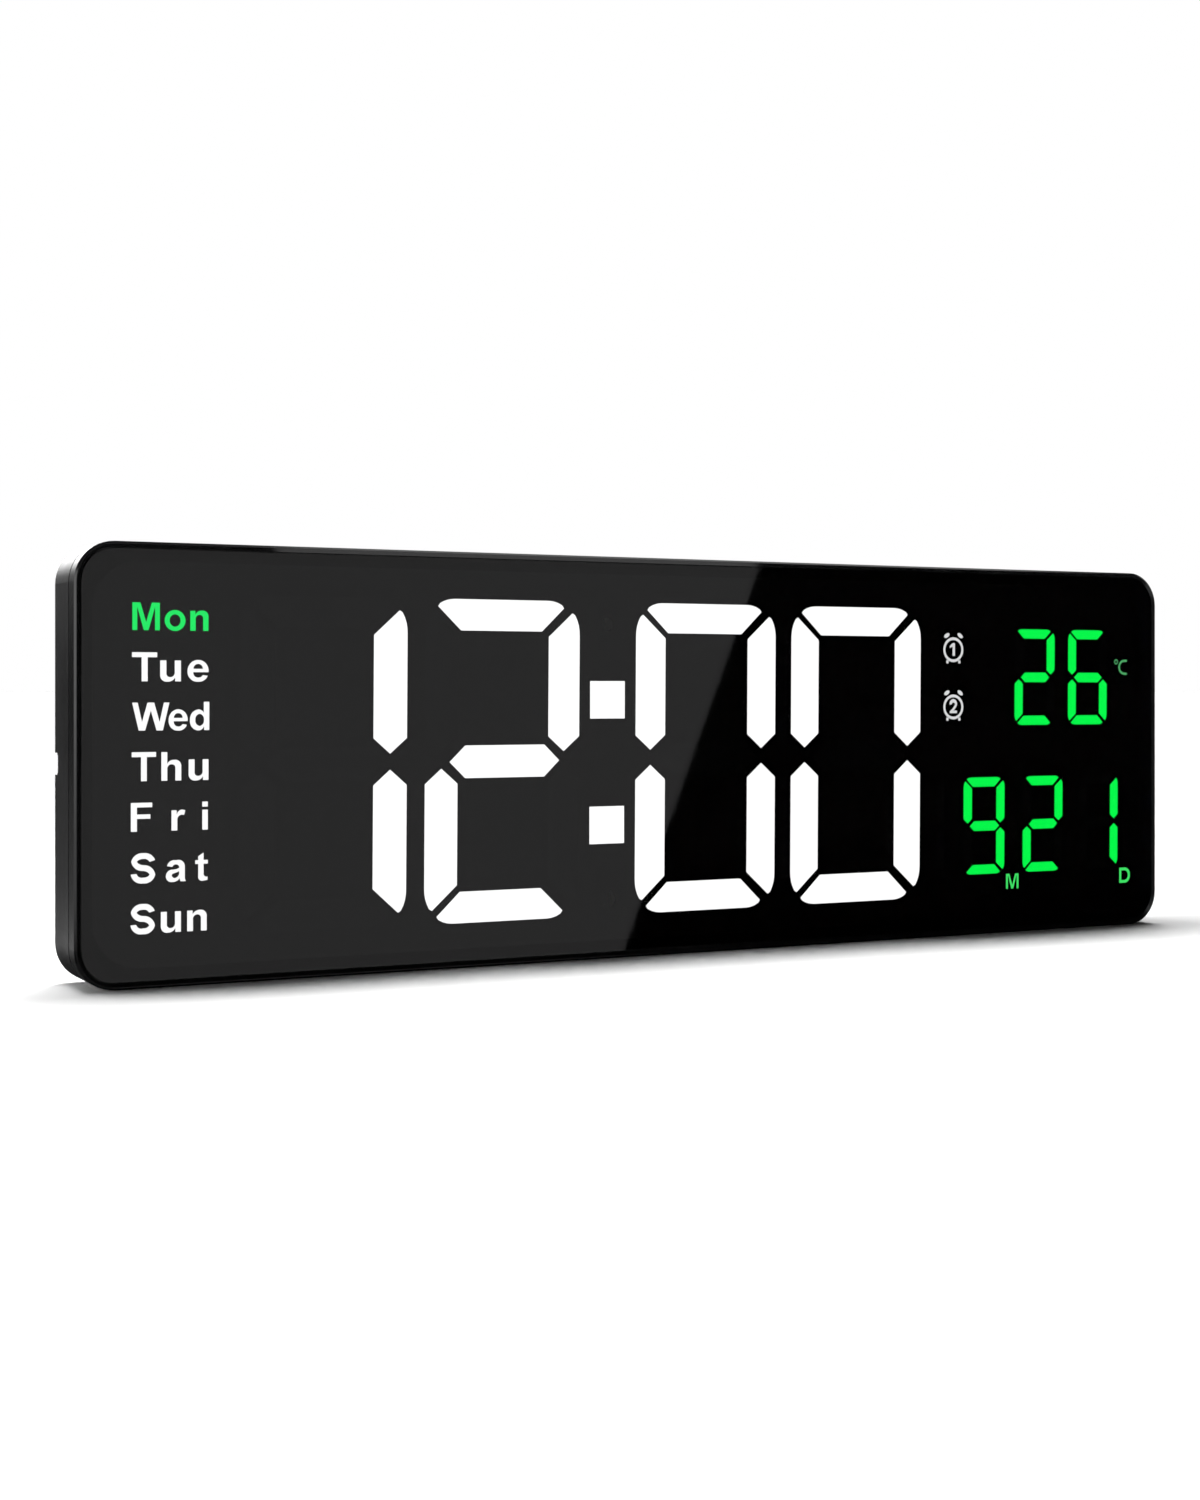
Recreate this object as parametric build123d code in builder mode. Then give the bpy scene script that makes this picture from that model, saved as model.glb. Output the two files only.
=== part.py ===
from build123d import *
import math
import os

os.makedirs("parts", exist_ok=True)

# ---------------------------------------------------------------- case
WIDTH = 406.0
HEIGHT = 131.0
DEPTH = 25.0
CORNER_R = 12.0
MID_Z = HEIGHT / 2
FRONT = DEPTH / 2           # the face's front edge lies at y = -FRONT

RIM = 1.8                   # frame seen around the pane
EDGE_BEVEL = 0.6            # bevel of the face's outer edge
RIM_SLOPE = 1.1             # slope of the rim down to the pane
RIM_DROP = 0.5
LEDGE_FRONT = 2.5           # ledge that carries the pane
LEDGE_REAR = 4.2
OPENING_W, OPENING_H, OPENING_R = 394.4, 119.4, 14.0
SEAM_D = 6.5                # joint between frame and rear housing
SEAM_GAP = 0.8
SEAM_DEPTH = 0.6
FRAME_WALL = 3.35
TONGUE_D = 9.0              # end of the frame's tongue inside the housing
TONGUE_T = 1.2
WALL = 2.0                  # rear housing's side wall
BACK_T = 2.2                # rear housing's back wall
BACK_IN = DEPTH - BACK_T
REAR_BEVEL = 1.0

# ---------------------------------------------------------------- layers behind the pane
LENS_GAP = 0.15
LENS_FRONT, LENS_REAR = 0.35, 2.25
MASK_FRONT, MASK_REAR = 2.3, 2.45
DIFFUSER_FRONT, DIFFUSER_REAR = 2.5, 2.95
PLATE_REAR = 3.95
BOARD_FRONT = 11.0
BOARD_REAR = 12.6
BOARD_W, BOARD_H, BOARD_R = 401.2, 126.2, 9.5

# ---------------------------------------------------------------- screws and posts (x, z)
COVER_POSTS = [(-194.5, 8.5), (194.5, 8.5), (-194.5, 122.5), (194.5, 122.5)]
COVER_MID_POSTS = [(0.0, 5.1), (0.0, 125.9)]
BOARD_POSTS = [(-100.0, 4.7), (100.0, 4.7), (-100.0, 126.3), (100.0, 126.3)]
COVER_POST_R, COVER_MID_R, BOARD_POST_R = 3.2, 2.8, 2.5
COVER_SHANK_R, BOARD_SHANK_R = 1.5, 1.1
WELL_R, WELL_BORE_R, WELL_FLOOR = 4.0, 3.1, 15.0

# ---------------------------------------------------------------- display (x, z)
DIGIT_Z = 65.2
LEAN = 0.0065               # slant of the digits, x to z
HOUR_TENS, HOUR_UNITS, MINUTE_TENS, MINUTE_UNITS = -125.9, -65.75, 9.1, 69.5
COLON_X, COLON_Z, COLON_W, COLON_H = -28.4, (43.3, 84.25), 12.85, 12.25
SMALL = 0.34                # small digits against the time digits
TEMP_Z, TEMP_X = 92.17, (147.55, 172.15)
DATE_Z, DATE_X = 38.65, (98.0, 124.6, 151.2, 177.3)
WEEK_X, WEEK_W, WEEK_H = -174.05, 26.2, 11.6
WEEK_BASE = (105.0, 89.95, 75.45, 60.57, 45.77, 30.67, 15.73)
ALARM_X, ALARM_Z = 111.0, (101.8, 81.35)
DEGREE_AT, DEGREE_W, DEGREE_H = (188.25, 95.95), 8.2, 7.6
MONTH_AT, MONTH_W, MONTH_H = (137.3, 18.2), 7.8, 7.6
DAY_AT, DAY_W, DAY_H = (189.8, 18.2), 7.0, 7.6
IR_AT, LIGHT_AT = (-28.4, 19.0), (-28.4, 109.0)
LEGEND_TRIM = 0.1           # ink that creeps over the edges of the letters

# ---------------------------------------------------------------- back of the case (x, z)
KEYHOLE_X, KEYHOLE_Z, KEYHOLE_RISE = 150.0, 95.0, 9.0
KEYHOLE_R, KEYSLOT_R = 4.25, 2.25
SOCKET_Z, SOCKET_D = 65.5, 18.6          # axis of the supply socket
POCKET_X0, POCKET_X1 = -201.0, -158.5
POCKET_Z0, POCKET_Z1, POCKET_D = 58.0, 73.0, 14.0
NOTCH_H, NOTCH_DEPTH = 6.6, 4.6
CELL_AT = (95.0, 60.0)
CELL_R, CELL_D0, CELL_D1 = 10.0, 18.5, 21.7
CAP_R, CAP_LUG_R = 12.5, 14.0
BUTTON_X, BUTTON_Z, BUTTON_R = (40.0, 56.0, 72.0, 88.0), 108.0, 3.5
BUZZER_AT = (40.0, 40.0)
LEG_X, LEG_D, LEG_PIN_R = 150.0, 21.9, 1.0
LEG_LENGTH, LEG_T, LEG_TOP = 55.0, 5.0, 14.8
RECESS_D, RECESS_TOP = 18.9, 15.0


def at(d):
    """Plane parallel to the face, d behind its front edge: x right, y up, extrusions run forwards."""
    return Plane.XZ.offset(FRONT - d)


# ---------------------------------------------------------------- bars of a seven-bar digit
BAR_A = [(-22.1, 48.85), (-14.2, 41.27), (14.2, 41.27), (22.1, 48.85), (21.4, 49.85), (19.9, 50.6),
         (18.2, 51.07), (16.6, 51.23), (-16.6, 51.23), (-18.2, 51.07), (-19.9, 50.6), (-21.4, 49.85)]
BAR_F = [(-21.45, 2.45), (-15.84, 7.3), (-15.84, 39.38), (-24.35, 47.12), (-25.36, 46.5), (-26.17, 44.9),
         (-26.7, 43.3), (-26.98, 41.7), (-27.06, 40.0), (-27.06, 7.3)]
BAR_G = [(-19.28, 0.0), (-13.9, -5.18), (13.9, -5.18), (19.28, 0.0), (13.9, 5.18), (-13.9, 5.18)]
BARS = {   # the outer level bars sit a little to the left, the middle one a little to the right
    "a": [(x - 0.75, z - 0.2) for x, z in BAR_A],
    "b": [(-x, z) for x, z in BAR_F],
    "c": [(-x, -z) for x, z in BAR_F],
    "d": [(x - 0.75, -z - 0.2) for x, z in BAR_A],
    "e": [(x, -z) for x, z in BAR_F],
    "f": BAR_F,
    "g": [(x + 0.6, z - 0.45) for x, z in BAR_G],
}
LED_SPOTS = {
    "a": [(-9.0, 46.3), (9.0, 46.3)], "d": [(-9.0, -46.3), (9.0, -46.3)], "g": [(-8.0, 0.0), (8.0, 0.0)],
    "b": [(21.5, 15.0), (21.5, 35.0)], "c": [(21.5, -15.0), (21.5, -35.0)],
    "e": [(-21.5, -15.0), (-21.5, -35.0)], "f": [(-21.5, 15.0), (-21.5, 35.0)],
}


def bars(names, cx, cz, scale=1.0):
    """Outlines of the named bars of one digit."""
    return [[(cx + scale * (x + LEAN * z), cz + scale * z) for x, z in BARS[n]] for n in names]


def spots(names, cx, cz, scale=1.0):
    """Lamp places of the named bars: two in a time digit's bar, one in a small one."""
    if scale == 1.0:
        return [(cx + x, cz + z) for n in names for x, z in LED_SPOTS[n]]
    return [(cx + scale * sum(p[0] for p in LED_SPOTS[n]) / 2, cz + scale * sum(p[1] for p in LED_SPOTS[n]) / 2)
            for n in names]


def grown(points, g):
    """Convex outline with every side moved outwards by g."""
    turn = sum(p[0] * q[1] - q[0] * p[1] for p, q in zip(points, points[1:] + points[:1]))
    pts = list(points) if turn > 0 else list(points)[::-1]
    sides = []
    for (x0, z0), (x1, z1) in zip(pts, pts[1:] + pts[:1]):
        run = math.hypot(x1 - x0, z1 - z0)
        nx, nz = (z1 - z0) / run, -(x1 - x0) / run
        sides.append((nx, nz, nx * x0 + nz * z0 + g))
    out = []
    for i in range(len(sides)):
        (a1, b1, c1), (a2, b2, c2) = sides[i - 1], sides[i]
        det = a1 * b2 - a2 * b1
        out.append(((c1 * b2 - c2 * b1) / det, (a1 * c2 - a2 * c1) / det))
    return out


def box_outline(cx, cz, w, h):
    return [(cx - w / 2, cz - h / 2), (cx + w / 2, cz - h / 2), (cx + w / 2, cz + h / 2), (cx - w / 2, cz + h / 2)]


HOUR_LIT = bars("bc", HOUR_TENS, DIGIT_Z) + bars("abged", HOUR_UNITS, DIGIT_Z)
MINUTE_LIT = bars("abcdef", MINUTE_TENS, DIGIT_Z) + bars("abcdef", MINUTE_UNITS, DIGIT_Z)
BIG_UNLIT = (bars("adefg", HOUR_TENS, DIGIT_Z) + bars("cf", HOUR_UNITS, DIGIT_Z)
             + bars("g", MINUTE_TENS, DIGIT_Z) + bars("g", MINUTE_UNITS, DIGIT_Z))
COLON = [box_outline(COLON_X + LEAN * (z - DIGIT_Z), z, COLON_W, COLON_H) for z in COLON_Z]
TEMP_LIT = bars("abged", TEMP_X[0], TEMP_Z, SMALL) + bars("acdefg", TEMP_X[1], TEMP_Z, SMALL)
DATE_LIT = (bars("abcdfg", DATE_X[1], DATE_Z, SMALL) + bars("abged", DATE_X[2], DATE_Z, SMALL)
            + bars("bc", DATE_X[3], DATE_Z, SMALL))
SMALL_UNLIT = (bars("cf", TEMP_X[0], TEMP_Z, SMALL) + bars("b", TEMP_X[1], TEMP_Z, SMALL)
               + bars("bc", DATE_X[0], DATE_Z, SMALL) + bars("e", DATE_X[1], DATE_Z, SMALL)
               + bars("cf", DATE_X[2], DATE_Z, SMALL) + bars("adefg", DATE_X[3], DATE_Z, SMALL))
BIG_BARS = HOUR_LIT + MINUTE_LIT + BIG_UNLIT + COLON
SMALL_BARS = TEMP_LIT + DATE_LIT + SMALL_UNLIT
WEEK_BOXES = [box_outline(WEEK_X, z + 4.35, WEEK_W, WEEK_H) for z in WEEK_BASE]
ALARM_BOXES = [box_outline(ALARM_X, z + 0.5, 11.6, 12.6) for z in ALARM_Z]
DEGREE_BOX = [box_outline(*DEGREE_AT, DEGREE_W, DEGREE_H)]
LETTER_BOXES = [box_outline(*MONTH_AT, MONTH_W, MONTH_H), box_outline(*DAY_AT, DAY_W, DAY_H)]
LEGEND_BOXES = WEEK_BOXES + ALARM_BOXES + DEGREE_BOX + LETTER_BOXES

# growth of the light wells' walls, the diffuser seats and the diffusers over the windows
BIG_GROW = (1.3, 0.50, 0.45)
SMALL_GROW = (0.9, 0.16, 0.12)
BOX_GROW = (0.9, 0.05, 0.0)

# ---------------------------------------------------------------- letters
# An outline is a list of points; four numbers are an arc's middle and end.


def oval(cx, cz, rx, rz):
    k = math.sqrt(0.5)
    return [(cx + rx, cz), (cx + k * rx, cz + k * rz, cx, cz + rz), (cx - k * rx, cz + k * rz, cx - rx, cz),
            (cx - k * rx, cz - k * rz, cx, cz - rz), (cx + k * rx, cz - k * rz, cx + rx, cz)]


LOWER_N = [(0, 0), (0, 6.4), (1.85, 6.4), (1.85, 5.55), (2.75, 6.3, 3.85, 6.5), (5.45, 5.95, 6.0, 4.2), (6.0, 0),
           (4.05, 0), (4.05, 3.8), (3.75, 4.7, 3.05, 4.95), (2.25, 4.55, 1.95, 3.4), (1.95, 0)]
GLYPHS = {   # natural width, outlines, counters
    "M": (8.75, [[(0, 0), (0, 8.6), (2.7, 8.6), (4.375, 3.0), (6.05, 8.6), (8.75, 8.6), (8.75, 0), (7.0, 0),
                  (7.0, 6.3), (5.2, 0), (3.55, 0), (1.75, 6.3), (1.75, 0)]], []),
    "o": (6.75, [oval(3.375, 3.2, 3.375, 3.35)], [oval(3.375, 3.2, 1.55, 1.8)]),
    "n": (6.0, [LOWER_N], []),
    "u": (6.0, [[tuple(6.0 - v if i % 2 == 0 else 6.4 - v for i, v in enumerate(p)) for p in LOWER_N]], []),
    "h": (6.0, [[(0, 0), (0, 8.85), (1.95, 8.85), (1.95, 5.6)] + LOWER_N[4:]], []),
    "T": (7.75, [[(0, 8.75), (7.75, 8.75), (7.75, 7.1), (4.9, 7.1), (4.9, 0), (2.85, 0), (2.85, 7.1), (0, 7.1)]], []),
    "e": (6.75, [[(6.72, 2.75), (6.05, 5.4, 3.45, 6.6), (0.9, 5.5, 0, 3.2), (0.9, 0.8, 3.5, -0.1),
                  (5.5, 0.45, 6.55, 1.85), (4.75, 2.1), (4.2, 1.5, 3.5, 1.35), (2.4, 1.75, 2.05, 2.75)]],
          [[(2.1, 3.95), (3.45, 5.2, 4.75, 3.95)]]),
    "W": (11.4, [[(0, 8.7), (1.9, 8.7), (3.1, 3.2), (4.6, 8.7), (6.8, 8.7), (8.3, 3.2), (9.5, 8.7), (11.4, 8.7),
                  (9.4, 0), (7.3, 0), (5.7, 5.7), (4.1, 0), (2.0, 0)]], []),
    "d": (6.2, [[(6.2, 0), (6.2, 8.8), (4.25, 8.8), (4.25, 5.75), (3.5, 6.35, 2.65, 6.5), (0.75, 5.5, 0, 3.2),
                 (0.75, 0.8, 2.6, -0.1), (3.6, 0.1, 4.35, 0.85), (4.35, 0)]], [oval(3.1, 3.2, 1.2, 1.75)]),
    "F": (6.6, [[(0, 0), (0, 8.85), (6.6, 8.85), (6.6, 7.25), (2.05, 7.25), (2.05, 5.35), (6.05, 5.35), (6.05, 3.8),
                 (2.05, 3.8), (2.05, 0)]], []),
    "r": (4.55, [[(0, 0), (0, 6.35), (1.85, 6.35), (1.85, 5.45), (2.6, 6.3, 3.5, 6.5), (4.55, 6.25), (4.1, 4.55),
                  (2.7, 4.55, 2.05, 3.2), (2.05, 0)]], []),
    "i": (2.05, [[(0, 0), (0, 6.3), (2.05, 6.3), (2.05, 0)], [(0, 7.0), (0, 8.75), (2.05, 8.75), (2.05, 7.0)]], []),
    "a": (6.25, [[(0.35, 4.65), (1.1, 6.05, 3.1, 6.5), (5.1, 6.05, 5.75, 4.4), (5.75, 1.4), (5.85, 0.6, 6.25, 0),
                  (4.3, 0), (4.05, 0.75), (3.2, 0.1, 2.0, -0.1), (0.6, 0.35, 0, 1.8), (0.6, 3.2, 2.2, 3.75),
                  (3.2, 3.92, 3.9, 4.2), (3.6, 4.9, 2.95, 5.05), (2.4, 4.85, 2.1, 4.35)]],
          [[(3.85, 2.95), (3.0, 2.6, 2.35, 2.4), (1.95, 1.9, 2.25, 1.45), (2.65, 1.25, 3.1, 1.4),
            (3.7, 1.95, 3.85, 2.95)]]),
    "t": (4.25, [[(0, 6.3), (0, 4.95), (0.95, 4.95), (0.95, 1.5), (1.35, 0.25, 2.6, -0.1), (4.1, 0.1), (4.2, 1.5),
                  (3.2, 1.45, 2.9, 1.9), (2.9, 4.95), (4.25, 4.95), (4.25, 6.3), (2.9, 6.3), (2.9, 8.6), (0.95, 7.4),
                  (0.95, 6.3)]], []),
    "S": (7.58, [[(5.66, 6.08), (5.13, 6.74, 3.84, 7.01), (2.49, 6.69, 2.09, 6.33), (2.44, 5.97, 4.05, 5.4),
                  (6.52, 4.4, 7.57, 2.42), (6.28, 0.43, 3.83, -0.15), (1.32, 0.48, 0.01, 2.78), (1.95, 2.92),
                  (2.38, 2.12, 3.87, 1.79), (5.22, 2.07, 5.63, 2.48), (5.28, 2.9, 3.65, 3.5), (1.26, 4.43, 0.15, 6.37),
                  (1.41, 8.31, 3.86, 8.95), (6.07, 8.46, 7.54, 6.62)]], []),
    "D": (6.2, [[(0, 0), (0, 6.5), (3.0, 6.5), (5.4, 5.6, 6.2, 3.25), (5.4, 0.9, 3.0, 0)]],
          [[(1.5, 1.4), (1.5, 5.1), (2.8, 5.1), (4.15, 4.6, 4.65, 3.25), (4.15, 1.9, 2.8, 1.4)]]),
}

LETTERS = [   # letter, left edge, base line, width, height factor
    ("M", -185.55, WEEK_BASE[0], 8.45, 0.97), ("o", -175.9, WEEK_BASE[0], 6.55, 0.96),
    ("n", -168.15, WEEK_BASE[0], 5.8, 0.96),
    ("T", -185.65, WEEK_BASE[1], 7.75, 1), ("u", -177.25, WEEK_BASE[1], 6.5, 1), ("e", -169.0, WEEK_BASE[1], 6.65, 1),
    ("W", -185.65, WEEK_BASE[2], 11.45, 0.97), ("e", -174.7, WEEK_BASE[2], 5.95, 0.98),
    ("d", -168.25, WEEK_BASE[2], 6.15, 0.98),
    ("T", -185.75, WEEK_BASE[3], 7.5, 1), ("h", -176.9, WEEK_BASE[3], 6.25, 0.98), ("u", -168.65, WEEK_BASE[3], 6.3, 1),
    ("F", -186.0, WEEK_BASE[4], 6.6, 0.98), ("r", -173.85, WEEK_BASE[4], 4.45, 0.98),
    ("i", -164.5, WEEK_BASE[4], 1.95, 0.98),
    ("S", -186.05, WEEK_BASE[5], 7.58, 1), ("a", -175.55, WEEK_BASE[5], 6.5, 1), ("t", -166.65, WEEK_BASE[5], 4.1, 1),
    ("S", -186.15, WEEK_BASE[6], 7.58, 1), ("u", -177.05, WEEK_BASE[6], 6.3, 0.99),
    ("n", -169.1, WEEK_BASE[6], 6.2, 0.99),
    ("M", 134.3, 15.25, 6.0, 5.65 / 8.6), ("D", 187.1, 15.2, 5.45, 0.91),
]


def left_normals(a, step):
    """Normals to the left of one side at its start, middle and end."""
    end = step[-2:]
    if len(step) == 2:
        run = math.dist(a, end)
        n = (-(end[1] - a[1]) / run, (end[0] - a[0]) / run)
        return n, n, n
    (x0, z0), (x1, z1), (x2, z2) = a, step[:2], end
    turn = (x1 - x0) * (z2 - z1) - (z1 - z0) * (x2 - x1)
    q0, q1, q2 = x0 * x0 + z0 * z0, x1 * x1 + z1 * z1, x2 * x2 + z2 * z2
    cx = (q0 * (z1 - z2) + q1 * (z2 - z0) + q2 * (z0 - z1)) / (2 * turn)
    cz = (q0 * (x2 - x1) + q1 * (x0 - x2) + q2 * (x1 - x0)) / (2 * turn)
    r = math.copysign(math.dist((cx, cz), a), turn)
    return tuple(((cx - x) / r, (cz - z) / r) for x, z in ((x0, z0), (x1, z1), (x2, z2)))


def inset(path, t):
    """Closed outline with every side moved inwards by t, outwards where t is negative."""
    steps = list(path[1:]) if math.dist(path[-1][-2:], path[0]) < 1e-6 else list(path[1:]) + [path[0]]
    starts = [path[0]] + [step[-2:] for step in steps[:-1]]
    ring = [q for a, step in zip(starts, steps) for q in ([a, step[:2]] if len(step) == 4 else [a])]
    if sum(u[0] * v[1] - v[0] * u[1] for u, v in zip(ring, ring[1:] + ring[:1])) < 0:
        t = -t
    sides = [left_normals(a, step) for a, step in zip(starts, steps)]
    corners = []
    for i, (x, z) in enumerate(starts):
        (ax, az), (bx, bz) = sides[i - 1][2], sides[i][0]
        k = t / (1 + ax * bx + az * bz)
        corners.append((x + k * (ax + bx), z + k * (az + bz)))
    out = corners[:1]
    for step, side, end in zip(steps, sides, corners[1:] + corners[:1]):
        middle = (step[0] + t * side[1][0], step[1] + t * side[1][1]) if len(step) == 4 else ()
        out.append(middle + end)
    return out


def draw(path, ox, oz, sx=1.0, sz=1.0, ink=LEGEND_TRIM):
    """Lines and arcs of one closed outline, narrowed by the ink over its edges."""
    placed = inset([tuple(oz + sz * v if i % 2 else ox + sx * v for i, v in enumerate(p)) for p in path], ink)
    last = placed[0]
    for step in placed[1:]:
        if len(step) == 4:
            ThreePointArc(last, step[:2], step[2:])
        else:
            Line(last, step)
        last = step[-2:]


with BuildSketch() as legends:
    for letter, x, z, width, tall in LETTERS:
        natural, outlines, counters = GLYPHS[letter]
        for path in outlines:
            with BuildLine():
                draw(path, x, z, width / natural, tall)
            make_face()
        for path in counters:
            with BuildLine():
                draw(path, x, z, width / natural, tall, -LEGEND_TRIM)
            make_face(mode=Mode.SUBTRACT)
    # alarm marks: a ring with two bells and two feet around a numeral
    for z in ALARM_Z:
        with Locations((ALARM_X, z)):
            Circle(4.45)
            Circle(3.45, mode=Mode.SUBTRACT)
        with Locations((ALARM_X - 2.85, z + 5.05)):
            Ellipse(1.35, 0.75, rotation=28)
        with Locations((ALARM_X + 3.0, z + 5.05)):
            Ellipse(1.35, 0.75, rotation=-32)
        with Locations((ALARM_X - 2.6, z - 4.35), (ALARM_X + 2.65, z - 4.35)):
            Rectangle(1.1, 1.1)
    with BuildLine():
        draw([(-0.5, -2.3), (-0.5, 0.95), (-1.7, 0.35), (-1.7, 1.35), (-0.3, 2.5), (0.85, 2.5), (0.85, -2.3)],
             ALARM_X, ALARM_Z[0])
    make_face()
    with BuildLine():
        draw([(-1.75, 0.75), (-0.05, 2.95, 1.75, 0.85), (1.35, -0.1, 0.3, -1.15), (1.75, -1.15), (1.75, -2.3),
              (-1.75, -2.3), (-1.75, -1.55), (0.0, 0.05, 0.6, 0.85), (0.05, 1.45, -0.55, 0.8)], ALARM_X, ALARM_Z[1])
    make_face()
    # degree mark
    with Locations((185.75, 97.9)):
        Circle(1.0)
        Circle(0.5, mode=Mode.SUBTRACT)
    with BuildLine():
        draw([(2.1, 2.95), (0.6, 2.95), (-2.35, 0.0, 0.6, -2.95), (2.1, -2.95), (2.1, -1.9), (0.75, -1.9),
              (-1.2, 0.0, 0.75, 1.9), (2.1, 1.9)], 189.0, 95.9)
    make_face()

# ---------------------------------------------------------------- front frame
with BuildPart() as front_frame:
    with BuildSketch(at(SEAM_D)):
        with Locations((0, MID_Z)):
            RectangleRounded(WIDTH, HEIGHT, CORNER_R)
    extrude(amount=SEAM_D)
    chamfer(front_frame.faces().sort_by(Axis.Y)[0].edges(), length=EDGE_BEVEL)
    with BuildSketch(at(LEDGE_FRONT)):
        with Locations((0, MID_Z)):
            RectangleRounded(WIDTH - 2 * RIM, HEIGHT - 2 * RIM, CORNER_R - RIM)
    extrude(amount=LEDGE_FRONT, mode=Mode.SUBTRACT)
    rim_face = front_frame.faces().sort_by(Axis.Y)[0]
    chamfer(rim_face.inner_wires()[0].edges(), length=RIM_SLOPE, length2=RIM_DROP, reference=rim_face)
    # window in the ledge, and the space behind it
    with BuildSketch(at(LEDGE_REAR)):
        with Locations((0, MID_Z)):
            RectangleRounded(OPENING_W, OPENING_H, OPENING_R)
    extrude(amount=LEDGE_REAR, mode=Mode.SUBTRACT)
    with BuildSketch(at(SEAM_D)):
        with Locations((0, MID_Z)):
            RectangleRounded(WIDTH - 2 * FRAME_WALL, HEIGHT - 2 * FRAME_WALL, CORNER_R - FRAME_WALL)
    extrude(amount=SEAM_D - LEDGE_REAR, mode=Mode.SUBTRACT)
    # tongue that goes into the rear housing
    with BuildSketch(at(TONGUE_D)):
        with Locations((0, MID_Z)):
            RectangleRounded(WIDTH - 2 * (FRAME_WALL - TONGUE_T), HEIGHT - 2 * (FRAME_WALL - TONGUE_T),
                             CORNER_R - FRAME_WALL + TONGUE_T)
            RectangleRounded(WIDTH - 2 * FRAME_WALL, HEIGHT - 2 * FRAME_WALL, CORNER_R - FRAME_WALL,
                             mode=Mode.SUBTRACT)
    extrude(amount=TONGUE_D - SEAM_D)
    # screw posts
    with BuildSketch(at(BOARD_FRONT)):
        with Locations(*COVER_POSTS):
            Circle(COVER_POST_R)
        with Locations(*COVER_MID_POSTS):
            Circle(COVER_MID_R)
        with Locations(*BOARD_POSTS):
            Circle(BOARD_POST_R)
    extrude(amount=BOARD_FRONT - LEDGE_REAR)
    with BuildSketch(at(BOARD_FRONT)):
        with Locations(*COVER_POSTS, *COVER_MID_POSTS):
            Circle(COVER_SHANK_R + 0.05)
    extrude(amount=BOARD_FRONT - 4.8, mode=Mode.SUBTRACT)
    with BuildSketch(at(BOARD_FRONT)):
        with Locations(*BOARD_POSTS):
            Circle(BOARD_SHANK_R + 0.05)
    extrude(amount=BOARD_FRONT - 5.8, mode=Mode.SUBTRACT)
front_frame.part.label = "front_frame"
export_step(front_frame.part, "parts/front_frame.step")

# ---------------------------------------------------------------- pane, glue ring and printed film
with BuildPart() as front_lens:
    with BuildSketch(at(LENS_REAR)):
        with Locations((0, MID_Z)):
            RectangleRounded(WIDTH - 2 * (RIM + LENS_GAP), HEIGHT - 2 * (RIM + LENS_GAP), CORNER_R - RIM - LENS_GAP)
    extrude(amount=LENS_REAR - LENS_FRONT)
    chamfer(front_lens.faces().sort_by(Axis.Y)[0].edges(), length=0.2)
front_lens.part.label = "front_lens"
export_step(front_lens.part, "parts/front_lens.step")

with BuildPart() as lens_tape:
    with BuildSketch(at(LEDGE_FRONT)):
        with Locations((0, MID_Z)):
            RectangleRounded(WIDTH - 2 * RIM - 0.6, HEIGHT - 2 * RIM - 0.6, CORNER_R - RIM - 0.3)
            RectangleRounded(OPENING_W + 0.4, OPENING_H + 0.4, OPENING_R + 0.2, mode=Mode.SUBTRACT)
    extrude(amount=LEDGE_FRONT - LENS_REAR)
lens_tape.part.label = "lens_tape"
export_step(lens_tape.part, "parts/lens_tape.step")

with BuildPart() as mask_film:
    with BuildSketch(at(MASK_REAR)):
        with Locations((0, MID_Z)):
            RectangleRounded(OPENING_W + 0.2, OPENING_H + 0.2, OPENING_R + 0.1)
        for outline in BIG_BARS + SMALL_BARS:
            with BuildLine():
                Polyline(*outline, close=True)
            make_face(mode=Mode.SUBTRACT)
        with Locations(IR_AT):
            Circle(3.0, mode=Mode.SUBTRACT)
        with Locations(LIGHT_AT):
            Circle(2.2, mode=Mode.SUBTRACT)
        add(legends.sketch, mode=Mode.SUBTRACT)
    extrude(amount=MASK_REAR - MASK_FRONT)
mask_film.part.label = "mask_film"
export_step(mask_film.part, "parts/mask_film.step")

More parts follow.
